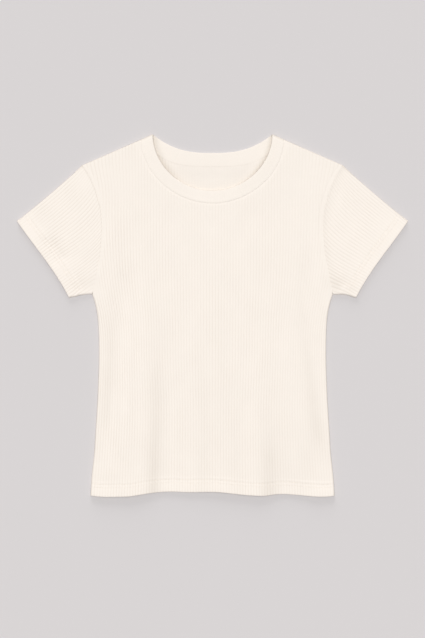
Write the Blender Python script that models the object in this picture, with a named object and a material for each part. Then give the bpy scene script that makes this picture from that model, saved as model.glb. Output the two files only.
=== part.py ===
"""A short-sleeved rib-knit T-shirt, laid flat on its back with its neck towards +Y.

The garment rests on Z = 0 and its outline is the same on both sides of X = 0. Its pieces
are those that a maker cuts and sews: a front, a back, two sleeves and a neckband. Each
piece is a wall of cloth. The front lies on the back, each sleeve is a flattened tube, and
the neckband is a flattened ring. Sizes are in millimetres until a mesh is made.
"""

import bpy
import numpy as np

MM = 0.001

# Cloth
CLOTH = 1.2  # one layer of rib knit
HEM_CLOTH = 2.0  # two layers, where a hem is turned up and pressed
BAND_CLOTH = 2.2  # the neckband, folded double
SEAM_GAP = 0.45  # between two pieces at a seam
RIB_RISE = 0.5
HEM_DEPTH = 20.0
HEM_STEP = 4.0  # over which a hem's second layer ends

# The space between the upper layer and the layer it lies on
LAID_GAP = 1.4
LEAST_GAP = 0.4
MOST_GAP = 5.0
HEM_FLARE = 1.1  # how much further apart the layers are at the hem
HEM_FLARE_TOP = -120.0  # where that begins
CUFF_FLARE = 0.4

# Where a fold or a seamed side turns over
ROLL = 4.5  # how far in from the edge the upper layer turns down
UNDER_ROLL = 3.0  # the same for the layer below
SEAM_HEIGHT = 1.5  # the middle of the side seam
BAND_ROLL = 5.0
BAND_UNDER_ROLL = 4.0
BAND_FOLD_HEIGHT = 3.0
ROLL_STEPS = (0.0, 0.134, 0.5, 1.0)  # shares of the roll: 0, 30, 60 and 90 degrees round it

# Corners, on the wearer's left half (+X); the other half mirrors them
UNDERARM = (182.4, 35.0)
SHOULDER_POINT = (195.0, 224.3)
NECK_POINT = (89.7, 271.8)
CUFF_TOP = (292.4, 140.6)
CUFF_FOOT = (214.4, 28.5)
SLEEVE_TOP_SAG = 1.5  # how far the sleeve's top fold dips below a straight line
CUFF_BOW = 2.2  # how far the cuff curves in towards the body
RIB_BOW = 3.0  # how far a sleeve's ribs curve towards the underarm
ARMHOLE_CROWDING = 23.8  # how much longer the armhole is at its foot than even ribs would give
BODY_RIBS = 76
SLEEVE_RIBS = 32
WAIST = 170.1  # the half width at the narrowest place

# How fast the ribs' lean fades away from the body's edge, as a power: (y, power)
LEAN = (
    (-272.0, 2.4),
    (-120.0, 3.0),
    (-20.0, 5.0),
    (35.0, 6.0),
    (80.0, 5.5),
    (150.0, 2.6),
    (272.0, 2.2),
)
# Half widths: (y, half_width)
SIDE_EDGE = (
    (-272.0, 181.7),
    (-241.0, 180.2),
    (-205.0, 176.9),
    (-169.0, 174.8),
    (-133.0, 172.4),
    (-106.0, 171.3),
    (-60.0, 170.1),
    (-25.0, 170.6),
    (-7.0, 171.5),
    (11.0, 172.9),
    (19.0, 174.2),
    (26.0, 177.6),
    UNDERARM[::-1],
)
ARMHOLE = (
    UNDERARM[::-1],
    (43.0, 180.6),
    (56.0, 176.5),
    (74.0, 172.5),
    (91.0, 168.8),
    (109.0, 167.3),
    (125.0, 165.8),
    (143.0, 166.2),
    (161.0, 168.0),
    (175.0, 171.8),
    (190.0, 176.3),
    (204.0, 182.3),
    (215.0, 188.3),
    SHOULDER_POINT[::-1],
)
# The hem's wavy line: (x, y)
HEM_LINE = (
    (-181.7, -270.3),
    (-172.0, -271.4),
    (-140.0, -271.8),
    (-124.0, -271.2),
    (-112.0, -269.4),
    (-94.0, -266.6),
    (-64.0, -264.3),
    (-40.0, -265.0),
    (12.0, -265.2),
    (32.0, -267.4),
    (56.0, -269.7),
    (80.0, -270.3),
    (92.0, -268.7),
    (104.0, -268.0),
    (128.0, -269.4),
    (152.0, -271.4),
    (172.0, -271.6),
    (181.7, -270.5),
)
BACK_HEM_RISE = 2.0  # how much shorter the back is than the front
# A neckline at the front: (half_width, lowest_y, roundness), where 2 is an ellipse
FRONT_NECK_SEAM = (107.2, 168.2, 1.93)
FRONT_NECK_EDGE = (89.7, 187.1, 1.97)
# A neckline at the back: (half_width, lowest_y, power it rises by)
BACK_NECK_SEAM = (107.2, 223.2, 3.23)
BACK_NECK_EDGE = (89.7, 243.8, 2.65)
# The largest folds, each a ridge or a trough along a line. The rise at its top, middle and
# foot is what it adds to the gap under the upper layer:
# (top_x, top_y, foot_x, foot_y, width_left, width_right, rise_top, rise_middle, rise_foot)
FOLDS = (
    (-74.0, 20.0, -76.0, -274.0, 11.5, 34.0, 0.0, -1.3, -3.6),
    (114.0, -95.0, 112.0, -274.0, 20.0, 30.0, 0.0, -1.2, -3.4),
    (-138.0, 70.0, -158.0, -190.0, 9.0, 13.0, 0.0, -2.6, 0.0),
    (141.0, 80.0, 169.0, -190.0, 9.0, 9.0, 0.0, -2.8, -1.2),
    (-121.0, 60.0, -125.0, -274.0, 18.0, 24.0, 0.0, 1.1, 2.0),
    (66.0, -60.0, 66.0, -274.0, 34.0, 16.0, 0.0, 0.9, 1.9),
    (-165.0, -225.0, -160.0, -274.0, 12.0, 14.0, 0.0, 0.6, 1.2),
    (10.0, -215.0, 8.0, -274.0, 13.0, 13.0, 0.0, 0.3, 0.7),
    (160.0, -215.0, 156.0, -272.0, 13.0, 13.0, 0.0, 0.4, 0.8),
    (-112.0, 256.0, -98.0, 215.0, 26.0, 26.0, 1.8, 1.2, 0.3),
    (112.0, 256.0, 98.0, 215.0, 26.0, 26.0, 1.8, 1.2, 0.3),
    (-194.0, 81.0, -230.0, 66.0, 11.0, 11.0, 0.0, 0.9, 1.2),
    (-226.0, 108.0, -249.0, 98.0, 9.0, 9.0, 0.0, -0.8, -0.9),
    (191.0, 37.0, 206.0, 44.0, 7.0, 7.0, 0.0, 0.7, 0.2),
    (-189.0, 200.0, -178.0, 60.0, 14.0, 14.0, 0.2, 0.5, 0.2),
    (189.0, 200.0, 178.0, 60.0, 14.0, 14.0, 0.2, 0.5, 0.2),
)
BAND_HEIGHT = 5.0  # the neckband's upper face at the middle of the front
BAND_HEIGHT_AT_FOLD = 6.8

# How the pieces are divided into faces
CHEST = 150.0  # rows are level up to here, and above it they share out the height left
LEVELS = (-205.0, -155.0, -105.0, -55.0, -12.0, 10.0, 24.0)
LEVELS += (UNDERARM[1], 54.0, 78.0, 104.0, 128.0, CHEST)
SLEEVE_ROWS = (0.0, 0.2, 0.4, 0.6, 0.8, 1.0)  # shares of the way from the armhole to the hem
PLAIN_STEP = 4  # a plain face has a column for every fourth half rib
BACK_COLUMNS = (0.0, 0.17, 0.29, 0.36, 0.42, 0.47, 0.52, 0.57, 0.61, 0.72, 0.85)
# Round the neckband's wall: (share of its width from the seam, share of its thickness down)
BAND_SECTION = (
    (0.0, 0.0),
    (0.35, 0.0),
    (0.7, 0.0),
    (0.95, 0.0),
    (1.0, 0.5),
    (0.95, 1.0),
    (0.5, 1.0),
    (0.0, 1.0),
)
BAND_FRONT_STEPS = 48
BAND_BACK_STEPS = 20
BAND_FOLD_SHARE = 0.036  # the share of half the neckband that turns over at a fold

KNIT_COLOUR = (0.93, 0.86, 0.77, 1.0)
BAND_COLOUR = (0.94, 0.88, 0.79, 1.0)
ROUGHNESS = 0.92


def through(table):
    """A smooth function through a table's (input, output) rows, cubic between them."""
    at, out = np.array(table, float).T
    slope = np.gradient(out, at)

    def value(t):
        t = np.clip(t, at[0], at[-1])
        i = np.clip(np.searchsorted(at, t) - 1, 0, len(at) - 2)
        step = at[i + 1] - at[i]
        s = (t - at[i]) / step
        start = (1 + 2 * s) * out[i] + s * step * slope[i]
        end = (3 - 2 * s) * out[i + 1] - (1 - s) * step * slope[i + 1]
        return (1 - s) ** 2 * start + s**2 * end

    return value


lean = through(LEAN)
side_edge = through(SIDE_EDGE)
hem_line = through(HEM_LINE)


def rows_above_chest(top):
    """The heights of a body piece's rows between the chest and its upper edge."""
    slope = (NECK_POINT[1] - SHOULDER_POINT[1]) / (SHOULDER_POINT[0] - NECK_POINT[0])
    down = ROLL * np.hypot(1, slope)
    shared = [CHEST + share * (top - down - CHEST) for share in (0.4, 0.75)]
    return shared + [top - down * step for step in ROLL_STEPS[::-1]]


def armhole_rows():
    """The heights at which the body pieces have rows beside the armhole."""
    beside = [level for level in LEVELS if level >= UNDERARM[1]]
    return np.array(beside + rows_above_chest(SHOULDER_POINT[1]))


def armhole(y):
    """The armhole's half width, straight between the rows so that the pieces match."""
    return np.interp(y, armhole_rows(), through(ARMHOLE)(armhole_rows()))


def smooth(t):
    """0 up to t = 0, 1 from t = 1, and smooth between."""
    t = np.clip(t, 0, 1)
    return t * t * (3 - 2 * t)


def shoulder_line(x):
    """The straight shoulder from the neck point to the shoulder point, on either half."""
    slope = (SHOULDER_POINT[1] - NECK_POINT[1]) / (SHOULDER_POINT[0] - NECK_POINT[0])
    return NECK_POINT[1] + slope * (np.abs(x) - NECK_POINT[0])


def body_x(column, y):
    """Where a rib is at each height. column runs from -1 at one side to 1 at the other."""
    edge = np.where(y < UNDERARM[1], side_edge(y), armhole(y))
    return column * WAIST + (edge - WAIST) * np.sign(column) * np.abs(column) ** lean(y)


def front_neck(neckline, turn):
    """A point on a front neckline. turn runs from -1 at one shoulder to 1 at the other."""
    half_width, lowest, roundness = neckline
    angle = turn * np.pi / 2
    top = shoulder_line(half_width)
    x = half_width * np.sign(turn) * np.abs(np.sin(angle)) ** (2 / roundness)
    y = top - (top - lowest) * np.abs(np.cos(angle)) ** (2 / roundness)
    return np.stack([x, y], -1)


def back_neck(neckline, turn):
    """A point on a back neckline, in the same way."""
    half_width, lowest, power = neckline
    rise = (shoulder_line(half_width) - lowest) * np.abs(turn) ** power
    return np.stack([half_width * turn, lowest + rise], -1)


def front_top_line(x):
    """The front's upper edge: the neck seam between the shoulders, set off by the gap."""
    half_width, lowest, roundness = FRONT_NECK_SEAM
    half_width, lowest = half_width + SEAM_GAP, lowest - SEAM_GAP
    top = shoulder_line(half_width)
    share = np.clip(np.abs(x) / half_width, 0, 1) ** roundness
    neck = top - (top - lowest) * (1 - share) ** (1 / roundness)
    return np.where(np.abs(x) < half_width, neck, shoulder_line(x))


def back_top_line(x):
    """The back's upper edge, in the same way."""
    half_width, lowest, power = BACK_NECK_SEAM
    half_width, lowest = half_width + SEAM_GAP, lowest - SEAM_GAP
    rise = (shoulder_line(half_width) - lowest) * (np.abs(x) / half_width) ** power
    return np.where(np.abs(x) < half_width, lowest + rise, shoulder_line(x))


def fold_rise(x, y):
    """What the folds add at each point: a bell across each line, uneven along it."""
    total = np.zeros(np.shape(x))
    for top_x, top_y, foot_x, foot_y, left, right, at_top, at_middle, at_foot in FOLDS:
        run_x, run_y = foot_x - top_x, foot_y - top_y
        s = ((x - top_x) * run_x + (y - top_y) * run_y) / (run_x**2 + run_y**2)
        s = np.clip(s, 0, 1)
        across = x - top_x - s * run_x
        away = np.hypot(across, y - top_y - s * run_y)
        half_width = np.where(across < 0, left, right)
        bend = 2 * (at_top - 2 * at_middle + at_foot)
        rise = at_top + s * (at_foot - at_top) + bend * s * (s - 1)
        total += rise * np.exp(-((away / half_width) ** 2))
    return total


def air(x, y, flare=0.0):
    """The gap under the upper layer, eased into the range that it may have."""
    flare = flare + HEM_FLARE * smooth((HEM_FLARE_TOP - y) / (HEM_FLARE_TOP + 272))
    middle, half = (LEAST_GAP + MOST_GAP) / 2, (MOST_GAP - LEAST_GAP) / 2
    return middle + half * np.tanh((LAID_GAP + flare + fold_rise(x, y) - middle) / half)


def hemmed(to_edge):
    """The wall's thickness at that distance from a turned-up edge."""
    share = smooth((to_edge - HEM_DEPTH) / HEM_STEP)
    return HEM_CLOTH + (CLOTH - HEM_CLOTH) * share


def turned_over(plan, folds, roll):
    """How far round a fold's turn each point is, from 0 to 1, and straight in from the fold."""
    start = np.concatenate([fold[:-1] for fold in folds])
    run = np.concatenate([fold[1:] for fold in folds]) - start
    long = np.linalg.norm(run, axis=1)
    offset = plan[..., None, :] - start
    share = np.clip((offset * run).sum(-1) / long**2, 0, 1)
    away = np.linalg.norm(offset - share[..., None] * run, axis=-1)
    nearest = away.argmin(-1)
    inward = np.stack([-run[:, 1], run[:, 0]], 1) / long[:, None]
    return np.clip(away.min(-1) / roll, 0, 1), inward[nearest]


def face(plan, height, wall, folds, edge_height, roll, inner=False, ribs=0.0):
    """A wall's outer or inner face over a plan, with its edges turned over at the folds.

    height is that of the flat cloth's face. At a fold the face turns through a quarter of
    an ellipse to edge_height. An inner face is set in from the fold by the wall.
    """
    share, inward = turned_over(plan, folds, roll)
    turn = np.sqrt(1 - (1 - share) ** 2)
    if inner:
        plan = plan + inward * (wall * (1 - share))[..., None]
    z = edge_height + (height - edge_height) * turn + ribs * turn
    return np.concatenate([plan, z[..., None]], -1)


class Wall:
    """A piece's points and faces, gathered and then made one closed mesh."""

    def __init__(self):
        self.points = np.zeros((0, 3))
        self.faces = []

    def add(self, grid):
        """Adds a grid of points, and gives their numbers in the same rows and columns."""
        numbers = np.arange(grid.shape[0] * grid.shape[1]) + len(self.points)
        self.points = np.concatenate([self.points, grid.reshape(-1, 3)])
        return numbers.reshape(grid.shape[:2])

    def skin(self, numbers, facing=1):
        """A face between each four neighbours. It faces up where rows run +Y, columns +X."""
        corners = [numbers[:-1, :-1], numbers[:-1, 1:], numbers[1:, 1:], numbers[1:, :-1]]
        self.faces += np.stack(corners, -1).reshape(-1, 4)[:, ::facing].tolist()

    def rim(self, upper, lower):
        """Joins an edge of the upper face to the lower face's, which may have fewer points."""
        a = b = 0
        while a < len(upper) - 1 or b < len(lower) - 1:
            across_a = across_b = np.inf
            if a < len(upper) - 1:
                across_a = self.apart(upper[a + 1], lower[b])
            if b < len(lower) - 1:
                across_b = self.apart(upper[a], lower[b + 1])
            if across_a <= across_b:
                self.faces.append([upper[a + 1], upper[a], lower[b]])
                a += 1
            else:
                self.faces.append([lower[b], lower[b + 1], upper[a]])
                b += 1

    def apart(self, a, b):
        return np.linalg.norm(self.points[a] - self.points[b])

    def make(self, name, colour, side=1):
        """The mesh object, mirrored for side = -1."""
        points = self.points * (side * MM, MM, MM)
        faces = [[int(i) for i in corners[::side]] for corners in self.faces]
        mesh = bpy.data.meshes.new(name)
        mesh.from_pydata(points.tolist(), [], faces)
        mesh.shade_smooth()
        mesh.set_sharp_from_angle(angle=np.radians(50))
        mesh.update()
        mesh.materials.append(cloth_material(name, colour))
        made = bpy.data.objects.new(name, mesh)
        bpy.context.scene.collection.objects.link(made)
        return made


def cloth_material(name, colour):
    material = bpy.data.materials.new(name)
    material.use_nodes = True
    shader = material.node_tree.nodes["Principled BSDF"]
    shader.inputs["Base Color"].default_value = colour
    shader.inputs["Roughness"].default_value = ROUGHNESS
    shader.inputs["Metallic"].default_value = 0.0
    return material


def rib_columns():
    """The front's columns, and which of them are ribs: a rib, a groove, a rib and so on."""
    edge = 1 - np.array(ROLL_STEPS) * ROLL / WAIST
    inside = np.arange(-BODY_RIBS + 3, BODY_RIBS - 2)
    columns = np.concatenate([-edge, inside / BODY_RIBS, edge[::-1]])
    raised = np.concatenate([np.zeros(4), inside % 2, np.zeros(4)])
    return columns, raised


def body_plan(columns, top_line, neck_half_width, hem_rise=0.0):
    """A body piece's plan: rows from the hem up, and columns that lean with its sides."""
    corner_y = shoulder_line(neck_half_width)
    fine = np.linspace(-1, 1, 4001)
    corner = np.interp(neck_half_width, body_x(fine, corner_y), fine)
    columns = columns.copy()
    at_corners = [np.abs(columns - side * corner).argmin() for side in (-1, 1)]
    columns[at_corners] = [-corner, corner]

    y = np.linspace(CHEST, NECK_POINT[1] + 1, 900)[:, None]
    above = y - top_line(body_x(columns, y))
    first = (above >= 0).argmax(0)
    each = np.arange(len(columns))
    before, after = above[first - 1, each], above[first, each]
    top = y[first, 0] - (y[1, 0] - y[0, 0]) * after / (after - before)
    top[at_corners] = corner_y

    foot = hem_line(body_x(columns, -270.0)) + hem_rise
    rows = [foot + rise for rise in (0, HEM_DEPTH, HEM_DEPTH + HEM_STEP)]
    rows += [np.full(len(columns), level) for level in LEVELS]
    y = np.array(rows + rows_above_chest(top))
    return np.stack([body_x(columns, y), y], -1)


def body_folds(plan, neck_half_width):
    """The sides below the underarm and the shoulders, each with the cloth on its left."""
    side = plan[:, -1][plan[:, -1, 1] <= UNDERARM[1] + 0.01]
    shoulder = plan[-1][plan[-1, :, 0] >= neck_half_width - 0.01][::-1]
    right = [side, shoulder]
    return right + [fold[::-1] * (-1, 1) for fold in right]


def body_wall(plan):
    return hemmed(plan[..., 1] - hem_line(plan[..., 0]))


def front_panel():
    """The front, whose ribs are raised in the outer face's points over a plain inner face."""
    columns, raised = rib_columns()
    half_width = FRONT_NECK_SEAM[0] + SEAM_GAP
    edge_height = SEAM_HEIGHT + SEAM_GAP / 2
    plan = body_plan(columns, front_top_line, half_width)
    picked = np.r_[0:4, 8 : len(columns) - 4 : PLAIN_STEP, -4:0]
    # The plain face keeps every rib's column where the neck's edge is steep.
    steep = np.flatnonzero(np.abs(np.abs(plan[-1, :, 0]) - half_width) < 9)
    picked = np.unique(np.concatenate([picked % len(columns), steep]))
    folds = body_folds(plan, half_width)

    faces = []
    for inner, part, rise in ((False, plan, RIB_RISE * raised), (True, plan[:, picked], 0.0)):
        wall = body_wall(part)
        height = wall * (1 if inner else 2) + air(part[..., 0], part[..., 1])
        faces.append(face(part, height, wall, folds, edge_height, ROLL, inner, rise))
    return sheet(*faces).make("front_panel", KNIT_COLOUR)


def sheet(upper_points, lower_points):
    """A wall between an upper and a lower face, with a rim along each of its four edges."""
    wall = Wall()
    upper, lower = wall.add(upper_points), wall.add(lower_points)
    wall.skin(upper)
    wall.skin(lower, -1)
    wall.rim(upper[0], lower[0])
    wall.rim(upper[:, -1], lower[:, -1])
    wall.rim(upper[-1, ::-1], lower[-1, ::-1])
    wall.rim(upper[::-1, 0], lower[::-1, 0])
    return wall


def back_panel():
    """The back, plain on both faces, because its ribs lie against the floor."""
    edge = 1 - np.array(ROLL_STEPS) * UNDER_ROLL / WAIST
    inside = np.array(BACK_COLUMNS)
    columns = np.concatenate([-edge, -inside[:0:-1], inside, edge[::-1]])
    half_width = BACK_NECK_SEAM[0] + SEAM_GAP
    edge_height = SEAM_HEIGHT - SEAM_GAP / 2
    plan = body_plan(columns, back_top_line, half_width, BACK_HEM_RISE)
    folds = body_folds(plan, half_width)
    wall = body_wall(plan)
    under = face(plan, 0 * wall, wall, folds, edge_height, UNDER_ROLL)
    inside_face = face(plan, wall, wall, folds, edge_height, UNDER_ROLL, inner=True)
    return sheet(inside_face, under).make("back_panel", KNIT_COLOUR)


def down_armhole(c):
    """The height on the armhole of each column of a sleeve, from 0 at its top fold to 1."""
    fall = SHOULDER_POINT[1] - UNDERARM[1] - ARMHOLE_CROWDING
    return SHOULDER_POINT[1] - fall * c - ARMHOLE_CROWDING * c**6


def sleeve_plan(columns):
    """A sleeve's plan: rows from the armhole to the cuff, columns from the top fold down.

    Returns the points and their distances from the cuff.
    """
    c = np.asarray(columns, float)
    y = down_armhole(c)
    start = np.stack([armhole(y) + SEAM_GAP, y], -1)
    cuff = np.array(CUFF_TOP) + c[:, None] * (np.array(CUFF_FOOT) - CUFF_TOP)
    along = np.array(CUFF_FOOT) - CUFF_TOP
    to_body = np.array([along[1], -along[0]]) / np.hypot(*along)
    cuff = cuff + (CUFF_BOW * 4 * c * (1 - c))[:, None] * to_body
    length = np.linalg.norm(cuff - start, axis=1)

    to_hem = 1 - (HEM_DEPTH + HEM_STEP) / length
    shares = [row * to_hem for row in SLEEVE_ROWS] + [1 - HEM_DEPTH / length, np.ones(len(c))]
    s = np.array(shares)
    bow = SLEEVE_TOP_SAG * (1 - c) + RIB_BOW * 4 * c * (1 - c)
    down = along / np.hypot(*along)
    plan = start + s[..., None] * (cuff - start)
    plan = plan + (bow * 4 * s * (1 - s))[..., None] * down
    return plan, (1 - s) * length


def sleeve(name, side):
    """A sleeve: one ring of ribbed and plain cloth, flattened. side is 1 for +X."""
    turn = np.array(ROLL_STEPS) * ROLL / 150
    under_turn = np.array(ROLL_STEPS[1:]) * UNDER_ROLL / 150
    inside = np.arange(3, 2 * SLEEVE_RIBS - 2)
    ribbed = np.concatenate([turn, inside / (2 * SLEEVE_RIBS), 1 - turn[::-1]])
    raised = np.concatenate([np.zeros(4), inside % 2, np.zeros(4)])
    coarse = np.linspace(0.08, 0.92, 13)
    plain = np.concatenate([turn, coarse, 1 - turn[::-1]])
    fine = np.linspace(1, 0, 2001)
    below = np.interp(armhole_rows()[1:-3], down_armhole(fine), fine)
    below = np.concatenate([1 - under_turn, below, under_turn[::-1]])

    rings = []
    for inner, above, rise in ((False, ribbed, RIB_RISE * raised), (True, plain, 0.0)):
        plan, to_cuff = sleeve_plan(above)
        folds = [plan[:, -1], plan[::-1, 0]]
        wall = hemmed(to_cuff)
        flare = CUFF_FLARE * smooth(1 - to_cuff / 40)
        height = wall * (1 if inner else 2) + air(side * plan[..., 0], plan[..., 1], flare)
        upper = face(plan, height, wall, folds, SEAM_HEIGHT, ROLL, inner, rise)
        plan, to_cuff = sleeve_plan(below)
        wall = hemmed(to_cuff)
        height = wall if inner else 0 * wall
        lower = face(plan, height, wall, folds, SEAM_HEIGHT, UNDER_ROLL, inner)
        rings.append(np.concatenate([upper, lower], 1))

    made = Wall()
    outer, inner = [np.pad(made.add(ring), ((0, 0), (0, 1)), "wrap") for ring in rings]
    made.skin(outer)
    made.skin(inner, -1)
    made.rim(outer[0], inner[0])
    made.rim(outer[-1, ::-1], inner[-1, ::-1])
    return made.make(name, KNIT_COLOUR, side)


def neckband():
    """The neckband: a doubled strip that goes round the neck, flattened front over back."""
    turn = 1 - BAND_FOLD_SHARE * np.array(ROLL_STEPS[1:])
    front = np.linspace(-0.93, 0.93, BAND_FRONT_STEPS)
    front = np.concatenate([[-1.0], -turn, front, turn[::-1], [1.0]])
    back = np.linspace(0.92, -0.92, BAND_BACK_STEPS)
    back = np.concatenate([turn, back, -turn[::-1]])
    rings = []
    for width, depth in BAND_SECTION:
        over = across(front_neck, (FRONT_NECK_SEAM, FRONT_NECK_EDGE), front, width)
        beneath = across(back_neck, (BACK_NECK_SEAM, BACK_NECK_EDGE), back, width)
        ends = across(front_neck, (FRONT_NECK_SEAM, FRONT_NECK_EDGE), np.array([1.0]), (0, 1))
        fold = ends.reshape(2, 2)
        folds = [fold, fold[::-1] * (-1, 1)]
        climb = smooth((np.abs(over[:, 0]) - 25) / 60)
        top = BAND_HEIGHT + (BAND_HEIGHT_AT_FOLD - BAND_HEIGHT) * climb
        layers = ((over, top, -1, BAND_ROLL), (beneath, 0 * beneath[:, 0], 1, BAND_UNDER_ROLL))
        ring = []
        for plan, outside, inward, roll in layers:
            wall = np.full(len(plan), depth * BAND_CLOTH)
            height = outside + inward * wall
            ring.append(face(plan, height, wall, folds, BAND_FOLD_HEIGHT, roll, depth > 0))
        rings.append(np.concatenate(ring))
    made = Wall()
    numbers = made.add(np.array(rings))
    made.skin(np.pad(numbers, ((0, 1), (0, 1)), "wrap"))
    return made.make("neckband", BAND_COLOUR)


def across(curve, necklines, turn, width):
    """Points that share of the way from a neckline's seam to its free edge."""
    seam, edge = (curve(neckline, turn) for neckline in necklines)
    share = np.atleast_1d(width)[:, None, None]
    points = seam + share * (edge - seam)
    return points[0] if np.ndim(width) == 0 else points


def main():
    for existing in list(bpy.data.objects):
        bpy.data.objects.remove(existing, do_unlink=True)
    front_panel()
    back_panel()
    sleeve("sleeve_left", 1)
    sleeve("sleeve_right", -1)
    neckband()


main()
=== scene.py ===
"""A cream rib-knit T-shirt laid flat: its cloth, ribs, seams and stitching, and the stage.

Every piece of cloth is a thin wall worked out on a grid of two parameters, in millimetres,
and made a mesh in metres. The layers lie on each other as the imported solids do.
"""

import bpy
import numpy as np
from bpy.props import FloatProperty, FloatVectorProperty, IntProperty, PointerProperty
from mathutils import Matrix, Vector


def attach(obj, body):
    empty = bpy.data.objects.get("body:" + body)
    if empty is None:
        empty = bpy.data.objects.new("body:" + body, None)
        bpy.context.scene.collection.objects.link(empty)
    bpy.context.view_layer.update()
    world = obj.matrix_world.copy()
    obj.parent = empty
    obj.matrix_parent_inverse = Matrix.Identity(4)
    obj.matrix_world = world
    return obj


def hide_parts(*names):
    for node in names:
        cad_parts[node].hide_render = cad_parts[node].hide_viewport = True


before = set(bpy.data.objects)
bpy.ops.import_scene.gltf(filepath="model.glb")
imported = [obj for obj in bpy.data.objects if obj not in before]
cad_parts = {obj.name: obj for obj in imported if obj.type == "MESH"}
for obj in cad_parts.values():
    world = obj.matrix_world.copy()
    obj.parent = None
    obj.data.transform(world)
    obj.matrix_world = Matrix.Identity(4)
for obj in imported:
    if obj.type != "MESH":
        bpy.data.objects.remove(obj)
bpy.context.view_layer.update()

bl_info = {
    "name": "Flat-laid rib T-shirt",
    "version": (1, 0, 0),
    "blender": (4, 5, 0),
    "location": "View3D > Sidebar > T-shirt",
    "description": "Dresses a flat-laid rib-knit T-shirt and sets its stage",
    "category": "Object",
}

MM = 0.001

# The cloth, in millimetres: its walls and its courses of loops, and, as shares of a wall,
# how far a cut edge is rounded over and what it keeps at its tip
CLOTH = 1.2
HEM_CLOTH = 1.8
BAND_CLOTH = 2.2
COURSE = 1.4
BAND_COURSE = 1.1
EDGE_ROUND = 0.6
EDGE_LEFT = 0.12

# How it lies: how far in a fold turns, the gap under the upper layer, the height at which
# the two layers meet, and the clearances there along and between them
ROLL = 2.4
UNDER_ROLL = 2.4
BAND_ROLL = 5.0
BAND_UNDER_ROLL = 4.0
LAID_GAP = 1.4
LEAST_GAP = 0.4
MOST_GAP = 5.0
SEAM_HEIGHT = 1.5
SEAM_CLEARANCE = 0.015
FACE_CLEARANCE = 0.06

# The ribs inside the back and the grooves underneath, as shares of the ribs outside
INSIDE_RIBS = 0.35
UNDER_GROOVES = 0.4

# The outline's own points, on the wearer's left half (+X)
UNDERARM = (180.6, 32.0)
SHOULDER_POINT = (195.6, 225.4)
NECK_POINT = (89.7, 271.8)
CUFF_TOP = (293.6, 141.9)
CUFF_FOOT = (215.2, 26.6)
SLEEVE_TOP_SAG = 2.0
CUFF_BOW = 2.8
CUFF_LENGTH = 137.0

# The hems: their depth, the distances over which the wall eases, how they flare open, and
# the height at which the hem is met along a column
HEM_DEPTH = 20.0
HEM_STEP = 4.0
HEM_ZONE = HEM_DEPTH + HEM_STEP
HEM_EASE = (-10.0, 28.0)
HEM_FLARE = 1.1
HEM_FLARE_TOP = -120.0
HEM_FLARE_FOOT = -272.0
CUFF_FLARE = 0.2
HEM_Y = -270.0
BACK_HEM_RISE = 2.0

# The neckband's heights at the bottom of the neck and at the shoulder folds, and how far
# from its seam the front begins to rise to it
BAND_FOLD_HEIGHT = 3.0
BAND_HEIGHT = 4.7
BAND_HEIGHT_AT_FOLD = 6.5
BAND_SEAM_HEIGHT = 4.1
BAND_SEAM_HEIGHT_AT_FOLD = 4.9
NECK_REACH = 42.0

# Tones: a rib's groove, darkened as painted shade, the colour of the painted shade laid in
# folds, and how deep in painted shade, and how far in, the cloth is inside the neck on the
# picture's left and right
RIB_GROOVE_SHADE = 0.30
PAINTED_SHADE_TONE = (0.80, 0.79, 0.77, 1.0)
NECK_SHADE_AMOUNT = (0.82, 0.92)
NECK_SHADE_REACH = (6.6, 4.6)

# The stage, in metres: half the floor's width, how far off the lamps stand, and the point
# that the camera looks at
FLOOR_REACH = 15.0
LAMP_AWAY = 3.0
PICTURE_MIDDLE = (0.0, -0.00525, 0.003)

# The meshes' columns follow the ribs up to these shares, and beyond them spread out to the
# edge. The body's rows are evenly spaced up to the chest.
RIBBED_SHARE = 0.75
SLEEVE_RIBBED_SHARE = 0.8
CHEST = 150.0
TOP_STRETCH = 1.1
# Rows of points near a hem's edge, as distances from it, and near the armhole, as shares of
# a sleeve above its hem
FRONT_HEM_ROWS = (
    0, 0.1, 0.4, 0.9, 2, 5, 8, 10.5, 12, 13, 14, 15, 16.2, 17.2, 18, 18.8, 19.6, 20.6, 21.6,
    22.6, 23.6, 25, 28,
)
BACK_HEM_ROWS = (0, 0.1, 0.4, 0.9, 3, 10, 17, 18.6, 20, 21.5, 23, 25)
CUFF_ROWS = (
    24, 23, 22, 21, 20, 19.2, 18.4, 17.6, 16.6, 15.4, 14.4, 13.4, 12.2, 10, 7, 4, 2, 0.9, 0.4,
    0.1, 0,
)
SLEEVE_SEAM_ROWS = (0, 0.006, 0.013, 0.025, 0.045, 0.07)
# The neckband's section, as shares of its width from the seam
BAND_OUTER = (
    0, 0.02, 0.05, 0.1, 0.16, 0.24, 0.34, 0.45, 0.56, 0.67, 0.77, 0.85, 0.91, 0.95, 0.975,
    0.99, 1,
)
BAND_INNER = (1, 0.99, 0.975, 0.93, 0.8, 0.6, 0.4, 0.2, 0.06, 0.01, 0)

# The twin rows of stitches, as distances above a hem's edge, and how far the front's go to
# each side, and the row inside the back neck, below the neckband's seam
STITCH_ROWS = (18.6, 13.8)
HEM_STITCH_REACH = 178.5
NECK_STITCH_DROP = 2.6
NECK_STITCH_HEIGHT = 1.75
# Relief, or painted shade and painted light, beside a line of sewing, and where along the hem
# the painted light line above its stitches is strongest: (distance, half_width, how_much)
HEM_RELIEF = ((18.6, 1, -0.16), (13.8, 0.9, -0.1), (21.8, 1.5, 0.07), (16.2, 1.2, 0.04))
HEM_TONES = ((18.6, 1.2, 0.09), (16, 1, -0.1))
HEM_LIGHT_LINE = ((-58, 26, 0.07), (10, 28, 0.06))
BODY_SEAM_RELIEF = ((2.4, 3, 0.24), (6.8, 0.9, -0.1), (0, 0.6, -0.08))
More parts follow.
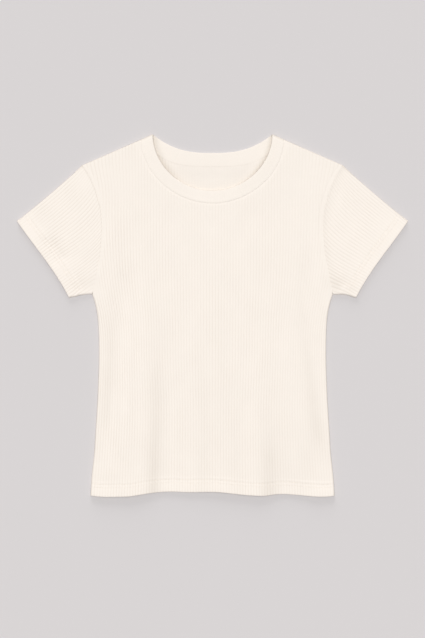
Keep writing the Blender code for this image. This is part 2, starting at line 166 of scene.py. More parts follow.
# What differs between the sleeves on the picture's right, 1, and on its left, -1
SLEEVE_SEAM_RELIEF = {
    1: ((5, 4, -0.22), (0, 0.6, -0.08)),
    -1: ((0, 4, -0.12), (0, 0.6, -0.08)),
}
SLEEVE_SEAM_SLOPE = {1: 0.2, -1: 0}
# Painted shade beside the armhole's seam, on each sleeve
SLEEVE_SEAM_SHADE = {1: ((0, 12, 0.2),), -1: ((0.8, 1, 0.4),)}
SLEEVE_SEAM_FADE = {1: 60, -1: 10}
SLEEVE_RIB_HEIGHT = {1: 0.85, -1: 0.6}
SLEEVE_RIB_TONE = {1: 0.9, -1: 1.27}
# Painted light along the cuff on the picture's left, as a painted shade below zero
CUFF_PAINTED_SHADE = {1: 0, -1: -0.07}

# How the body's ribs run. The armholes and the side seams cut the outer ones, so these are
# half widths of the whole set: (y, from_the_middle's_pitch, at_the_outer_rib, power)
RIB_RUN = (
    (-272, 181.5, 181.7, 2),
    (-200, 180.4, 176.5, 2),
    (-140, 181.3, 172.8, 2),
    (-90, 189.2, 170.8, 2),
    (-60, 193.6, 170.1, 2),
    (-25, 194.5, 171, 2),
    (0, 194.5, 174.5, 2),
    (30, 194.5, 181, 2.2),
    (60, 194.5, 187, 2.5),
    (100, 194.5, 192, 3),
    (150, 194.5, 195.5, 4),
    (185, 194.5, 197, 6),
    (227, 194.5, 216, 6),
    (272, 194.5, 226, 6),
)
# Half widths: (y, half_width)
SIDE_EDGE = (
    (-272, 183.3),
    (-241, 181.3),
    (-205, 177.4),
    (-169, 175.2),
    (-133, 172.9),
    (-106, 171.7),
    (-60, 170.4),
    (-25, 170.9),
    (-7, 171.9),
    (8, 174),
    (17, 176),
    (25, 178.2),
    UNDERARM[::-1],
)
ARMHOLE = (
    UNDERARM[::-1],
    (43, 178.6),
    (56, 175.8),
    (74, 172.5),
    (91, 168.8),
    (109, 167.3),
    (125, 165.8),
    (143, 166.2),
    (161, 168),
    (175, 171.8),
    (190, 176.3),
    (204, 182.3),
    (215, 188.3),
    SHOULDER_POINT[::-1],
)
# The hem's wavy line: (x, y)
HEM_LINE = (
    (-181.7, -270.3),
    (-172, -271.4),
    (-140, -271.8),
    (-124, -271.2),
    (-112, -269.4),
    (-94, -266.6),
    (-64, -264.3),
    (-40, -265),
    (12, -265.2),
    (32, -267.4),
    (56, -269.7),
    (80, -270.3),
    (92, -268.7),
    (104, -268),
    (128, -269.4),
    (152, -271.4),
    (172, -271.6),
    (181.7, -270.5),
)
# A neckline at the front: (half_width, lowest_y, roundness), and at the back with the
# power that it rises by
FRONT_NECK_SEAM = (107.2, 168.2, 1.93)
FRONT_NECK_EDGE = (89.7, 187.1, 1.97)
BACK_NECK_SEAM = (107.2, 223.2, 3.23)
BACK_NECK_EDGE = (89.7, 243.8, 2.65)
# Ridges and troughs along lines, in the order
# (top_x, top_y, foot_x, foot_y, width_left, width_right, rise_top, rise_middle, rise_foot)
FOLDS = (
    (-74, 20, -76, -274, 11.5, 34, 0, -1.3, -3.6),
    (114, -95, 112, -274, 20, 30, 0, -1.2, -3.4),
    (-138, 70, -158, -190, 9, 13, 0, -2.6, 0),
    (132, 80, 160, -190, 8, 8, 0, -2.7, -1.2),
    (-121, 60, -125, -274, 18, 24, 0, 1.1, 2),
    (66, -60, 66, -274, 34, 16, 0, 0.9, 1.9),
    (-165, -225, -160, -274, 12, 14, 0, 0.6, 1.2),
    (10, -215, 8, -274, 13, 13, 0, 0.3, 0.7),
    (160, -215, 156, -272, 13, 13, 0, 0.4, 0.8),
    (-112, 256, -98, 215, 26, 26, 1.8, 1.2, 0.3),
    (112, 256, 98, 215, 26, 26, 1.8, 1.2, 0.3),
    (-194, 84, -232, 70, 11, 20, 0, 0.7, 1),
    (-222, 106, -251, 108, 9, 9, 0, -1.2, -1.2),
    (191, 37, 206, 44, 7, 7, 0, 0.7, 0.2),
    (-189, 200, -178, 60, 14, 14, 0.2, 0.5, 0.2),
    (189, 200, 178, 60, 14, 14, 0.2, 0.5, 0.2),
)
# Painted shade where less light reaches, or, with a minus, painted light where more does:
# along lines in the same order, as how deep the painted shade is
SHADES = (
    (-79, 20, -89, -274, 10.5, 10, 0, 0.17, 0.42),
    (-150, 10, -160, -190, 7, 6, 0, 0.15, 0),
    (-149, -100, -150, -178, 4, 5, 0, -0.08, 0),
    (-128, 50, -134, -200, 8, 8, -0.02, -0.12, -0.03),
    (-158, 150, -158, 40, 10, 10, -0.03, -0.06, -0.03),
    (155, 165, 157, 50, 9, 7, -0.04, -0.03, -0.04),
    (-156, -166, -158, -205, 8, 8, -0.05, -0.05, -0.03),
    (132, -110, 132, -160, 9, 9, 0, -0.06, 0),
    (-112, 80, -108, -20, 12, 12, -0.03, -0.04, -0.03),
    (-14, 14, -40, -24, 14, 14, -0.03, -0.04, -0.02),
    (84, -206, 86, -236, 11, 11, 0.03, 0.06, 0),
    (142, -190, 146, -248, 14, 12, 0.04, 0.10, 0.05),
    (-159, -190, -158, -240, 14, 14, 0, -0.08, 0),
    (-108, 50, -110, -274, 9, 9, -0.03, -0.07, -0.01),
    (-60, -100, -60, -274, 8, 8, 0, -0.08, -0.02),
    (-36, 10, -38, -274, 10, 10, -0.02, -0.03, -0.03),
    (60, -20, 60, -274, 10, 10, -0.02, -0.03, -0.05),
    (-12, -90, -14, -274, 9, 9, 0.03, 0.08, 0.06),
    (11, 30, 13, -160, 12, 12, 0, 0.04, 0),
    (33, -100, 36, -274, 11, 11, 0, 0.06, 0.09),
    (85, -110, 84, -274, 12, 14, 0, 0.15, 0.40),
    (107, 152, 107, 130, 10, 10, 0.03, 0.05, 0.02),
    (108, 0, 110, -130, 9, 9, 0, -0.04, 0),
    (131, 68, 140, -40, 11, 8, 0.02, 0.07, 0.05),
    (140, -40, 151, -127, 9, 7, 0.05, 0.19, 0.13),
    (151, -127, 164, -208, 12, 9, 0.09, 0.29, 0.05),
    (159, -30, 168, -150, 5, 6, 0, -0.05, -0.04),
    (115, -190, 118, -274, 22, 22, 0, 0.06, 0.06),
    (-222, 98, -246, 104, 9, 9, 0.04, 0.10, 0.05),
    (-246, 119, -226, 91, 6, 6, 0.02, 0.09, 0.16),
    (-262, 108, -246, 84, 8, 8, 0.02, 0.13, 0.02),
    (-208, 76, -236, 73, 9, 9, -0.08, -0.15, -0.10),
    (-183, 50, -222, 42, 9, 9, 0.16, 0.14, 0.05),
    (226, 68, 250, 78, 9, 9, -0.02, -0.05, -0.04),
    (196, 40.5, 202, 40, 4, 4, -0.16, -0.20, -0.16),
    (184, 46, 190, 42, 8, 8, 0.12, 0.14, 0.10),
    (206, 42, 212, 38, 5, 5, 0.08, 0.10, 0.06),
    (180, 54, 208, 46, 11, 11, 0.12, 0.18, 0.12),
    (264, 116, 234, 92, 14, 14, 0, 0.04, 0.04),
    (-168, -258, -154, -258, 7, 7, -0.05, -0.05, -0.05),
    (-70, -254, -58, -254, 7, 7, -0.05, -0.05, -0.05),
    (2, -255, 14, -255, 7, 7, -0.05, -0.05, -0.05),
    (110, -258, 124, -258, 7, 7, -0.05, -0.05, -0.05),
    (164, -259, 174, -259, 7, 7, -0.06, -0.06, -0.06),
)
# Where the cloth is stretched smooth and its ribs fade, or, with a minus, where it is drawn
# in and they stand out: (x, y, radius, how_much)
SMOOTH_PATCHES = (
    (-274, 128, 26, 0.85),
    (-226, 70, 15, 0.9),
    (272, 130, 24, 0.8),
    (244, 84, 20, 0.6),
    (-196, 195, 12, 0.5),
    (-170, -255, 16, 0.6),
    (165, -255, 16, 0.6),
    (-173, 38, 15, 0.8),
    (174, 28, 14, 0.7),
    (258, 108, 20, 0.6),
    (0, 150, 90, 0.38),
    (-120, 200, 60, 0.35),
    (120, 200, 60, 0.45),
    (194, 50, 18, -0.6),
    (-196, 52, 20, -0.2),
    (-238, 106, 13, -0.6),
    (-134, -140, 13, 0.45),
    (-172, -222, 15, 0.5),
    (-120, -232, 14, 0.35),
    (-152, 212, 42, 0.42),
    (150, 222, 30, 0.3),
)
# Where each of a sleeve's ribs meets the armhole, for the right and the left of the picture:
# (share of the ribs from the top fold down, y)
RIB_STARTS = {
    1: ((0, 225.4), (0.25, 200), (0.5, 156), (0.8, 86), (1, 44), (1.2, 2)),
    -1: ((0, 225.4), (0.25, 200), (0.5, 157), (0.8, 99), (1, 55), (1.2, 11)),
}
# How far they bow down near the armhole: (share, bow)
RIB_BOW = ((0, 0), (0.12, 3), (0.3, 4.4), (0.6, 4.4), (0.8, 2), (0.92, -0.6), (1, 0))
# How far the underarm edge dips and rises: (share of the way to the cuff, rise)
UNDERARM_WAVE = {
    1: ((0, -0.4), (0.17, 0.3), (0.42, 1.8), (0.68, 1.7), (0.9, 0.3), (1, 0)),
    -1: ((0, -0.2), (0.15, 0.8), (0.4, 1.1), (0.55, 1.3), (0.72, 0.1), (0.9, 0.3), (1, 0)),
}


LENGTH = {"unit": "LENGTH", "precision": 5}
COLOUR = {"subtype": "COLOR", "size": 3, "min": 0.0, "max": 1.0}


class ClothSizes(bpy.types.PropertyGroup):
    rib_height: FloatProperty(
        name="Rib height",
        description="How far a rib stands above the groove beside it",
        default=0.30 * MM,
        min=0.0,
        max=0.6 * MM,
        **LENGTH,
    )
    body_ribs: IntProperty(
        name="Body ribs",
        description="The number of ribs across the front",
        default=88,
        min=40,
        max=120,
    )
    sleeve_ribs: IntProperty(
        name="Sleeve ribs",
        description="The number of ribs on the upper half of a sleeve",
        default=32,
        min=16,
        max=48,
    )
    band_rib_pitch: FloatProperty(
        name="Neckband rib pitch",
        description="The distance between the neckband's faint ribs",
        default=3.6 * MM,
        min=2.0 * MM,
        max=8.0 * MM,
        **LENGTH,
    )
    stitch_length: FloatProperty(
        name="Stitch length",
        description="The length of one stitch in the hems",
        default=2.8 * MM,
        min=1.5 * MM,
        max=5.0 * MM,
        **LENGTH,
    )
    thread: FloatProperty(
        name="Thread",
        description="The thickness of the sewing thread",
        default=0.32 * MM,
        min=0.1 * MM,
        max=0.8 * MM,
        **LENGTH,
    )


class ClothColours(bpy.types.PropertyGroup):
    knit: FloatVectorProperty(
        name="Knit",
        description="The body's and sleeves' rib knit",
        default=(0.9155, 0.8455, 0.7735),
        **COLOUR,
    )
    band: FloatVectorProperty(
        name="Neckband",
        description="The neckband's finer knit",
        default=(0.923, 0.852, 0.778),
        **COLOUR,
    )
    thread: FloatVectorProperty(
        name="Thread",
        description="The sewing thread",
        default=(0.86, 0.78, 0.69),
        **COLOUR,
    )


class StageSettings(bpy.types.PropertyGroup):
    floor: FloatVectorProperty(
        name="Floor",
        description="The pale surface that the shirt lies on",
        default=(0.649, 0.622, 0.622),
        **COLOUR,
    )
    fill: FloatProperty(
        name="Fill light",
        description="The strength of the light from all round",
        default=0.24,
        min=0.0,
        max=5.0,
    )
    key: FloatProperty(
        name="Key light",
        description="What the broad light straight above the shirt gives a level surface",
        default=0.71,
        min=0.0,
        max=5.0,
    )
    side: FloatProperty(
        name="Side light",
        description="What the low light beyond the neck gives a level surface",
        default=0.12,
        min=0.0,
        max=5.0,
    )
    side_rise: FloatProperty(
        name="Side light's height",
        description="The side light's angle above the floor",
        default=np.radians(18.0),
        min=0.05,
        max=np.pi / 2,
        subtype="ANGLE",
    )
    side_turn: FloatProperty(
        name="Side light's turn",
        description="How far the side light is turned from the neck to the picture's left",
        default=np.radians(6.0),
        min=-np.pi,
        max=np.pi,
        subtype="ANGLE",
    )
    lens: FloatProperty(
        name="Lens",
        description="The camera's focal length in millimetres",
        default=100.0,
        min=20.0,
        max=300.0,
        subtype="DISTANCE_CAMERA",
    )
    view_height: FloatProperty(
        name="View height",
        description="How much of the floor the picture's height takes in",
        default=0.957,
        min=0.2,
        max=3.0,
        unit="LENGTH",
    )


# ---------------------------------------------------------------------------
# The shirt's shape
# ---------------------------------------------------------------------------


def through(table):
    """A smooth function through a table's rows: on each interval, the cubic that has the
    rows' values at its ends and the central differences there as slopes."""
    at, out = np.array(table, float).T
    slope = np.gradient(out, at)

    def value(t):
        t = np.clip(t, at[0], at[-1])
        i = np.clip(np.searchsorted(at, t) - 1, 0, len(at) - 2)
        step = at[i + 1] - at[i]
        s = (t - at[i]) / step
        start = (1 + 2 * s) * out[i] + s * step * slope[i]
        end = (3 - 2 * s) * out[i + 1] - (1 - s) * step * slope[i + 1]
        return (1 - s) ** 2 * start + s**2 * end

    return value


rib_run = [through([(row[0], row[k]) for row in RIB_RUN]) for k in (1, 2, 3)]
side_edge = through(SIDE_EDGE)
armhole = through(ARMHOLE)
hem_line = through(HEM_LINE)


def smooth(t):
    """3 t squared less 2 t cubed, held at 0 below t = 0 and at 1 above t = 1."""
    t = np.clip(t, 0, 1)
    return t * t * (3 - 2 * t)


def bell(distance, half_width):
    """e to the minus square of distance over half width."""
    return np.exp(-((distance / half_width) ** 2))


def skewed_arch(t):
    """t squared times 1 less t, scaled to reach 1 at two thirds of the way."""
    return 27 / 4 * t**2 * (1 - t)


def shoulder_line(x):
    """The straight line from the neck point to the shoulder point, over the distance from
    the middle."""
    slope = (SHOULDER_POINT[1] - NECK_POINT[1]) / (SHOULDER_POINT[0] - NECK_POINT[0])
    return NECK_POINT[1] + slope * (np.abs(x) - NECK_POINT[0])


def rib_x(share, y):
    """Where a rib is at height y, from its share of the ribs on one side: the share at the
    middle's pitch, and a power of it of how much further out the outer rib is."""
    even, outer, power = [run(y) for run in rib_run]
    return share * even + (outer - even) * share**power


def rib_share(x, y):
    """The rib that passes a point, as a share: rib_x undone by Newton's steps."""
    even, outer, power = [run(y) for run in rib_run]
    away = np.abs(x)
    share = away / even
    for _ in range(8):
        miss = share * even + (outer - even) * share**power - away
        slope = even + (outer - even) * power * share ** (power - 1)
        share = np.clip(share - miss / slope, 0, 1.3)
    return np.sign(x) * share


def body_x(column, y):
    """Where a column of points is at height y: it follows its rib, or, beyond the last rib
    that runs clear of the armhole, takes its share of the way to the body's edge."""
    share = np.abs(column)
    followed = rib_x(np.minimum(share, RIBBED_SHARE), y)
    beyond = np.clip((share - RIBBED_SHARE) / (1 - RIBBED_SHARE), 0, 1)
    edge = np.where(y < UNDERARM[1], side_edge(y), armhole(y))
    return np.sign(column) * (followed + (edge - followed) * beyond)


def front_neck(neckline, turn):
    """A point on a front neckline at turn, -1 to 1: a superellipse's sine and cosine of a
    quarter turn each way, raised to 2 over its roundness."""
    half_width, lowest, roundness = neckline
    angle = turn * np.pi / 2
    top = shoulder_line(half_width)
    x = half_width * np.sign(turn) * np.abs(np.sin(angle)) ** (2 / roundness)
    y = top - (top - lowest) * np.abs(np.cos(angle)) ** (2 / roundness)
    return np.stack([x, y], -1)


def back_neck(neckline, turn):
    """A point on a back neckline at turn, -1 to 1: it rises by a power of turn."""
    half_width, lowest, power = neckline
    rise = (shoulder_line(half_width) - lowest) * np.abs(turn) ** power
    return np.stack([half_width * turn, lowest + rise], -1)


def front_top_line(x):
    """The front's upper edge at x: the neck seam's superellipse, or the shoulder line."""
    half_width, lowest, roundness = FRONT_NECK_SEAM
    half_width, lowest = half_width + SEAM_CLEARANCE, lowest - SEAM_CLEARANCE
    top = shoulder_line(half_width)
    share = np.clip(np.abs(x) / half_width, 0, 1) ** roundness
    neck = top - (top - lowest) * (1 - share) ** (1 / roundness)
    return np.where(np.abs(x) < half_width, neck, shoulder_line(x))


def back_top_line(x):
    """The back's upper edge at x: the back neck seam, or the shoulder line."""
    half_width, lowest, power = BACK_NECK_SEAM
    half_width, lowest = half_width + SEAM_CLEARANCE, lowest - SEAM_CLEARANCE
    rise = (shoulder_line(half_width) - lowest) * (np.abs(x) / half_width) ** power
    return np.where(np.abs(x) < half_width, lowest + rise, shoulder_line(x))


def along_lines(lines, x, y):
    """The sum over the lines of a bell across each, of its own width to each side, times a
    parabola along it that passes through its values at the top, middle and foot."""
    total = np.zeros(np.shape(x))
    for top_x, top_y, foot_x, foot_y, left, right, at_top, at_middle, at_foot in lines:
        run_x, run_y = foot_x - top_x, foot_y - top_y
        s = ((x - top_x) * run_x + (y - top_y) * run_y) / (run_x**2 + run_y**2)
        s = np.clip(s, 0, 1)
        across = x - top_x - s * run_x
        away = np.hypot(across, y - top_y - s * run_y)
        half_width = np.where(across < 0, left, right)
        bend = 2 * (at_top - 2 * at_middle + at_foot)
        total += (at_top + s * (at_foot - at_top) + bend * s * (s - 1)) * bell(away, half_width)
    return total


def ease(x, y):
    """The cloth's slight unevenness: three crossing sine waves, 30 to 90 mm long."""
    return (
        0.10 * np.sin(x / 9.1 + 1.3 * np.sin(y / 37.0))
        + 0.09 * np.sin(y / 14.0 + 1.1 * np.sin(x / 21.0) + 0.7)
        + 0.08 * np.sin((x + 0.6 * y) / 11.0 + 2.1)
    )


def air(x, y, flare=0.0):
    """The gap under the upper layer: the usual gap, the flare and the folds, kept in its
    range by a hyperbolic tangent."""
    down = (HEM_FLARE_TOP - y) / (HEM_FLARE_TOP - HEM_FLARE_FOOT)
    gap = LAID_GAP + flare + HEM_FLARE * smooth(down) + along_lines(FOLDS, x, y)
    middle, half = (LEAST_GAP + MOST_GAP) / 2, (MOST_GAP - LEAST_GAP) / 2
    return middle + half * np.tanh((gap - middle) / half)


def hemmed(to_edge):
    """The wall's thickness: it eases from the hem's at the edge to single above the hem."""
    start, end = HEM_EASE
    return HEM_CLOTH + (CLOTH - HEM_CLOTH) * smooth((to_edge - start) / (end - start))


def rib(phase):
    """A rib's height, 0 to 1, over its phase in ribs: a broad crest and a narrow groove,
    the 0.6th power of the sine's size."""
    return np.abs(np.sin(np.pi * phase)) ** 0.6


def rib_strength(x, y):
    """The product of two wandering sine waves about 1, times 1 less a bell at each place
    where the cloth is stretched smooth."""
    across, along = np.sin(x / 8.3 + 1.6 * np.sin(y / 33)), np.sin(y / 17 + 1.4 * np.sin(x / 23))
    strength = 1.03 + 0.25 * across * along
    for at_x, at_y, radius, how_much in SMOOTH_PATCHES:
        strength *= 1 - how_much * bell(np.hypot(x - at_x, y - at_y), radius)
    return strength


def ridges(rows, distance):
    """The sum of bells about lines at given distances: (distance, half_width, how_much)."""
    return sum(how_much * bell(distance - at, half_width) for at, half_width, how_much in rows)


def laid_shade(x, y):
    """How deep the painted shade on the upper layer is: a little everywhere and towards the hem,
    and more along the painted shade's lines."""
    return 0.08 + 0.03 * smooth((-60 - y) / 100) + along_lines(SHADES, x, y)


def hem_shade(to_edge, x):
    """A hem's turned-up cloth, lighter, with a painted dark line at its upper stitches and a
    painted light line to each side of them, the upper one stronger at some places along the
    hem and towards the picture's right."""
    light_line = ridges(HEM_LIGHT_LINE, x) + 0.12 * smooth((x - 90) / 50)
    above = (0.07 + light_line) * bell(to_edge - 22, 1.2)
    return ridges(HEM_TONES, to_edge) - above - 0.03 * smooth((22 - to_edge) / 4)


def hem_sewing(to_edge, along):
    """The relief of a twin-needle hem: a furrow along each row of stitches, a low ridge
    above them, and small puckers between the rows, a sine wave 7 mm long."""
    return ridges(HEM_RELIEF, to_edge) + 0.06 * np.sin(along * 0.9) * bell(to_edge - 16.5, 4.0)


def armhole_fade(y):
    """An armhole seam shows from the shoulder down, and fades above the underarm."""
    return smooth((y - 70) / 80)


def sleeve_seam_relief(distance, side):
    """The sleeve beside the seam: on the picture's right a short slope down from the body,
    on its left a shallow slope down to it."""
    slope = SLEEVE_SEAM_SLOPE[side] * (1 - smooth(distance / 3.5))
    return slope + ridges(SLEEVE_SEAM_RELIEF[side], distance)


def direction(start, end):
    """The direction from one point to another, as a unit vector."""
    run = np.subtract(end, start)
    return run / np.hypot(*run)


def to_the_right(way):
    """The direction a quarter turn to the right of another."""
    return np.array([way[1], -way[0]])


into_shoulder = to_the_right(direction(NECK_POINT, SHOULDER_POINT))
into_sleeve_top = to_the_right(direction(SHOULDER_POINT, CUFF_TOP))
into_underarm = to_the_right(direction(CUFF_FOOT, UNDERARM))


def line_away(x, y, start, end):
    """Each point's distance from a straight line between two points."""
    run = np.subtract(end, start)
    s = ((x - start[0]) * run[0] + (y - start[1]) * run[1]) / (run @ run)
    s = np.clip(s, 0, 1)
    return np.hypot(x - start[0] - s * run[0], y - start[1] - s * run[1])


def quarter_turn(away, roll):
    """A quarter of an ellipse: 0 at a fold and 1 from the roll's width in."""
    share = np.clip(away / roll, 0, 1)
    return np.sqrt(1 - (1 - share) ** 2)


def inset(wall, away, roll):
    """How far an inner face is set in from a fold: by the wall, less where it has turned."""
    return wall * (1 - np.clip(away / roll, 0, 1))


def body_edges(x, y):
    """How far each point of the body is from its side and from its shoulder."""
    to_corner = np.hypot(np.abs(x) - UNDERARM[0], y - UNDERARM[1])
    to_side = np.where(y < UNDERARM[1], side_edge(y) - np.abs(x), to_corner)
    return np.maximum(to_side, 0), np.maximum((y - shoulder_line(x)) * into_shoulder[1], 0)


def to_armhole(x, y):
    """How far a point of the body is from the armhole seam, below which it is far off."""
    return np.where(y > UNDERARM[1], armhole(y) - np.abs(x), 99.0)


def neck_away(neckline, x, y):
    """How far a point lies outside a front neckline: the superellipse's own scale there
    less 1, times the mean of its half axes."""
    half_width, lowest, roundness = neckline
    top = shoulder_line(half_width)
    down = np.abs(np.minimum(y - top, 0) / (top - lowest))
    scale = (np.abs(x / half_width) ** roundness + down**roundness) ** (1 / roundness)
    return (scale - 1) * (half_width + top - lowest) / 2


def band_climb(x):
    """The band's rise from the bottom of the neck, 0, to the shoulders, 1."""
    return smooth((np.abs(x) - 25) / 60)


def band_seam_top(x):
    """The height of the band's outer face, and of the front, at the seam between them."""
    rise = BAND_SEAM_HEIGHT_AT_FOLD - BAND_SEAM_HEIGHT
    return BAND_SEAM_HEIGHT + rise * band_climb(x)


def neck_shade(x, y):
    """Painted shade inside the neck, for the room's light that the front of the neck keeps from
    the cloth there: a bell of the distance in from the front's edge, steeper at the sides of
    the neck and fainter at its bottom."""
    inside = np.maximum(-neck_away(FRONT_NECK_EDGE, x, y), 0)
    amount, reach = np.where(x < 0, *NECK_SHADE_AMOUNT), np.where(x < 0, *NECK_SHADE_REACH)
    sides = smooth((np.abs(x) - 28) / 46) * amount * np.exp(-((inside / reach) ** 2.2))
    return sides + 0.16 * bell(inside, 16) * (1 - smooth((np.abs(x) - 30) / 30))


def front_height(x, y):
    """The front's outer face without its ribs: two walls and the gap, with the relief of
    the seams and the hem, turned down at the sides and the shoulders."""
    to_hem = y - hem_line(x)
    height = 2 * hemmed(to_hem) + air(x, y) + ease(x, y) + hem_sewing(to_hem, x)
    height = height + armhole_fade(y) * ridges(BODY_SEAM_RELIEF, to_armhole(x, y))
    to_neck = neck_away(FRONT_NECK_SEAM, x, y)
    height = height + smooth(1 - to_neck / NECK_REACH) * (band_seam_top(x) - height)
    height = height + 0.12 * smooth((np.abs(x) - 55) / 40) * bell(to_neck - 4.5, 2.6)
    height = height - 0.2 * bell(to_neck, 0.7)
    to_side, to_shoulder = body_edges(x, y)
    turn = quarter_turn(np.minimum(to_side, to_shoulder), ROLL)
    return SEAM_HEIGHT + (height - SEAM_HEIGHT) * turn


def front_ribbing(x, y):
    """How clearly the front's ribs show: not where they are pressed flat beside the neck's
    and the armholes' seams, and more towards the picture's left than towards its right."""
    clear = rib_strength(x, y) * (1 - 0.85 * (1 - smooth((to_armhole(x, y) - 3) / 5)))
    clear = clear * (1 + 0.25 * smooth((-x - 85) / 40) - 0.28 * smooth((x - 85) / 40))
    flat_seam = 1.2 + 7 * smooth((y - 236) / 22)
    return clear * smooth((neck_away(FRONT_NECK_SEAM, x, y) - flat_seam) / 2)


def front_shade(x, y):
    """How deep the painted shade on the front is: as it is laid and hemmed, and darker where
    it turns down at the shoulders and along the neckband's and the right armhole's seams."""
    to_neck = neck_away(FRONT_NECK_SEAM, x, y)
    shade = laid_shade(x, y) + hem_shade(y - hem_line(x), x)
    shade = shade + 0.6 * (1 - smooth(body_edges(x, y)[1] / 3))
    shade = shade + 0.18 * bell(to_neck - 0.3, 0.9) * (1 - 0.7 * band_climb(x))
    return shade + 0.14 * armhole_fade(y) * bell(to_armhole(x, y) - 6.8, 0.9) * (x > 0)


def rounded_edge(outer, inner, to_edge, wall):
    """Draws a wall's two faces together at a cut or turned edge, by a quarter of an ellipse
    each, down to a small share of the wall."""
    turn = EDGE_LEFT + (1 - EDGE_LEFT) * quarter_turn(to_edge, EDGE_ROUND * wall)
    middle = (outer + inner) / 2
    return middle + (outer - middle) * turn, middle + (inner - middle) * turn


# ---------------------------------------------------------------------------
# Meshes
# ---------------------------------------------------------------------------


def placed(name, mesh, material):
    """The mesh as a smooth piece of one material, in the scene."""
    mesh.shade_smooth()
    mesh.materials.append(material)
    mesh.update()
    piece = bpy.data.objects.new(name, mesh)
    bpy.context.scene.collection.objects.link(piece)
    return piece


class Cloth:
    """Gathers grids of points, their faces, their places in the knit, how deep the painted
    shade on each is, and how clearly its ribs show, which sets the painted shade in their
    grooves."""

    def __init__(self):
        self.points = []
        self.knit = []
        self.look = []
        self.faces = []
        self.count = 0

    def add(self, points, across, along, painted_shade=0.1, ribbing=1.0):
        """Adds a grid of points, and gives their numbers in the same rows and columns."""
        numbers = self.count + np.arange(points.shape[0] * points.shape[1])
        self.count += len(numbers)
        self.points.append(points.reshape(-1, 3))
        grid = np.zeros(points.shape[:2])
        self.knit.append(np.stack([across + grid, along + grid], -1).reshape(-1, 2))
        self.look.append(np.stack([painted_shade + grid, ribbing + grid], -1).reshape(-1, 2))
        return numbers.reshape(points.shape[:2])

    def skin(self, numbers, facing=1):
        """A face between each four neighbours. It faces up where rows run +Y, columns +X."""
        corners = [numbers[:-1, :-1], numbers[:-1, 1:], numbers[1:, 1:], numbers[1:, :-1]]
        self.faces.append(np.stack(corners, -1).reshape(-1, 4)[:, ::facing])

    def rim(self, fine, coarse):
        """Joins an edge to one with a whole share of its points, by fans of triangles."""
        each = (len(fine) - 1) // (len(coarse) - 1)
        switch = (each + 1) // 2
        i = np.arange(len(fine) - 1)
        nearest = coarse[(i + each - switch) // each]
        self.faces.append(np.stack([fine[i + 1], fine[i], nearest], -1))
        j = np.arange(len(coarse) - 1)
        self.faces.append(np.stack([coarse[j], coarse[j + 1], fine[j * each + switch]], -1))

    def make(self, name, material, side=1):
        """The finished object, mirrored for side = -1."""
        points = np.concatenate(self.points) * (side * MM, MM, MM)
        faces = [corner for block in self.faces for corner in block[:, ::side].tolist()]
        mesh = bpy.data.meshes.new(name)
        mesh.from_pydata(points, [], faces)
        corners = np.empty(len(mesh.loops), np.int32)
        mesh.loops.foreach_get("vertex_index", corners)
        knit = np.concatenate(self.knit)[corners]
        mesh.uv_layers.new(name="Knit").data.foreach_set("uv", knit.ravel())
        for values, called in zip(np.concatenate(self.look).T, ("Depth", "Ribbing")):
            attribute = mesh.attributes.new(called, "FLOAT", "POINT")
            attribute.data.foreach_set("value", np.ascontiguousarray(values, np.float32))
        return placed(name, mesh, material)


def lifted(x, y, z):
    """Points at heights over a plan."""
    return np.stack(np.broadcast_arrays(x, y, z), -1)


def body_plan(columns, near_hem, near_top, top_line, level, shared, hem_rise=0.0, every=1):
    """The plan of a body piece: x and y for each row from the hem up and each column.

    A row near the hem follows it, a number of level rows are evenly spaced up to the chest,
    and more share out the height that is left, up to a stretched roll below the top edge.
    The columns close up a little so that one of those kept by every meets the corner
    between the neck seam and the shoulder.
    """
    half_width = FRONT_NECK_SEAM[0] + SEAM_CLEARANCE
    corner_y = shoulder_line(half_width)
    fine = np.linspace(-1, 1, 4001)
    corner = np.interp(half_width, body_x(fine, corner_y), fine)
    kept = columns[::every]
    at_corners = [np.abs(kept - side * corner).argmin() * every for side in (-1, 1)]
    reach = 8 * every * (columns[len(columns) // 2 + 1] - columns[len(columns) // 2])
    for side, at in zip((-1, 1), at_corners):
        shift = side * corner - columns[at]
        columns = columns + shift * np.clip(1 - np.abs(columns - columns[at]) / reach, 0, 1)
    y = np.linspace(CHEST, NECK_POINT[1] + 1, 900)[:, None]
    above = y - top_line(body_x(columns, y))
    first = (above >= 0).argmax(0)
    each = np.arange(len(columns))
    before, after = above[first - 1, each], above[first, each]
    top = y[first, 0] - (y[1, 0] - y[0, 0]) * after / (after - before)
    top[at_corners] = corner_y

    foot = hem_line(body_x(columns, HEM_Y)) + hem_rise
    rows = [foot + rise for rise in near_hem]
    down = TOP_STRETCH * near_top
    start, end = rows[-1], top - down[0]
    rows += [start + (CHEST - start) * share for share in np.linspace(0, 1, level + 1)[1:]]
    rows += [CHEST + (end - CHEST) * share for share in np.linspace(0, 1, shared + 1)[1:-1]]
    rows += [top - step for step in down]
    y = np.array(rows)
    return body_x(columns, y), y


def turned_steps(width, count):
    """Distances from an edge, even round a quarter turn of that width: the width times 1
    less the cosine."""
    return width * (1 - np.cos(np.linspace(0, np.pi / 2, count + 1)))


def turned_columns(count, turned):
    """Columns from -1 to 1, with a few at each end closer together round its fold."""
    columns = np.linspace(-1, 1, count + 1)
    edge = turned_steps(2 * turned / count, turned)
    columns[: turned + 1], columns[-turned - 1 :] = -1 + edge, 1 - edge[::-1]
    return columns


def turned_line(reach, count, end, turned):
    """From -1 to 1: even steps as far as a reach, and closer ones near each end."""
    ends = turned_steps(end, turned)
    return np.concatenate([-1 + ends, np.linspace(-reach, reach, count), 1 - ends[::-1]])


def set_in(x, y, to_side, to_shoulder, wall, roll):
    """The plan of a body's inner face, set in from the nearer of its folds."""
    at_side = to_side < to_shoulder
    from_side, from_shoulder = inset(wall, to_side, roll), inset(wall, to_shoulder, roll)
    inward = np.where(at_side, -from_side, into_shoulder[0] * from_shoulder)
    return x + np.sign(x) * inward, y + np.where(at_side, 0, into_shoulder[1] * from_shoulder)


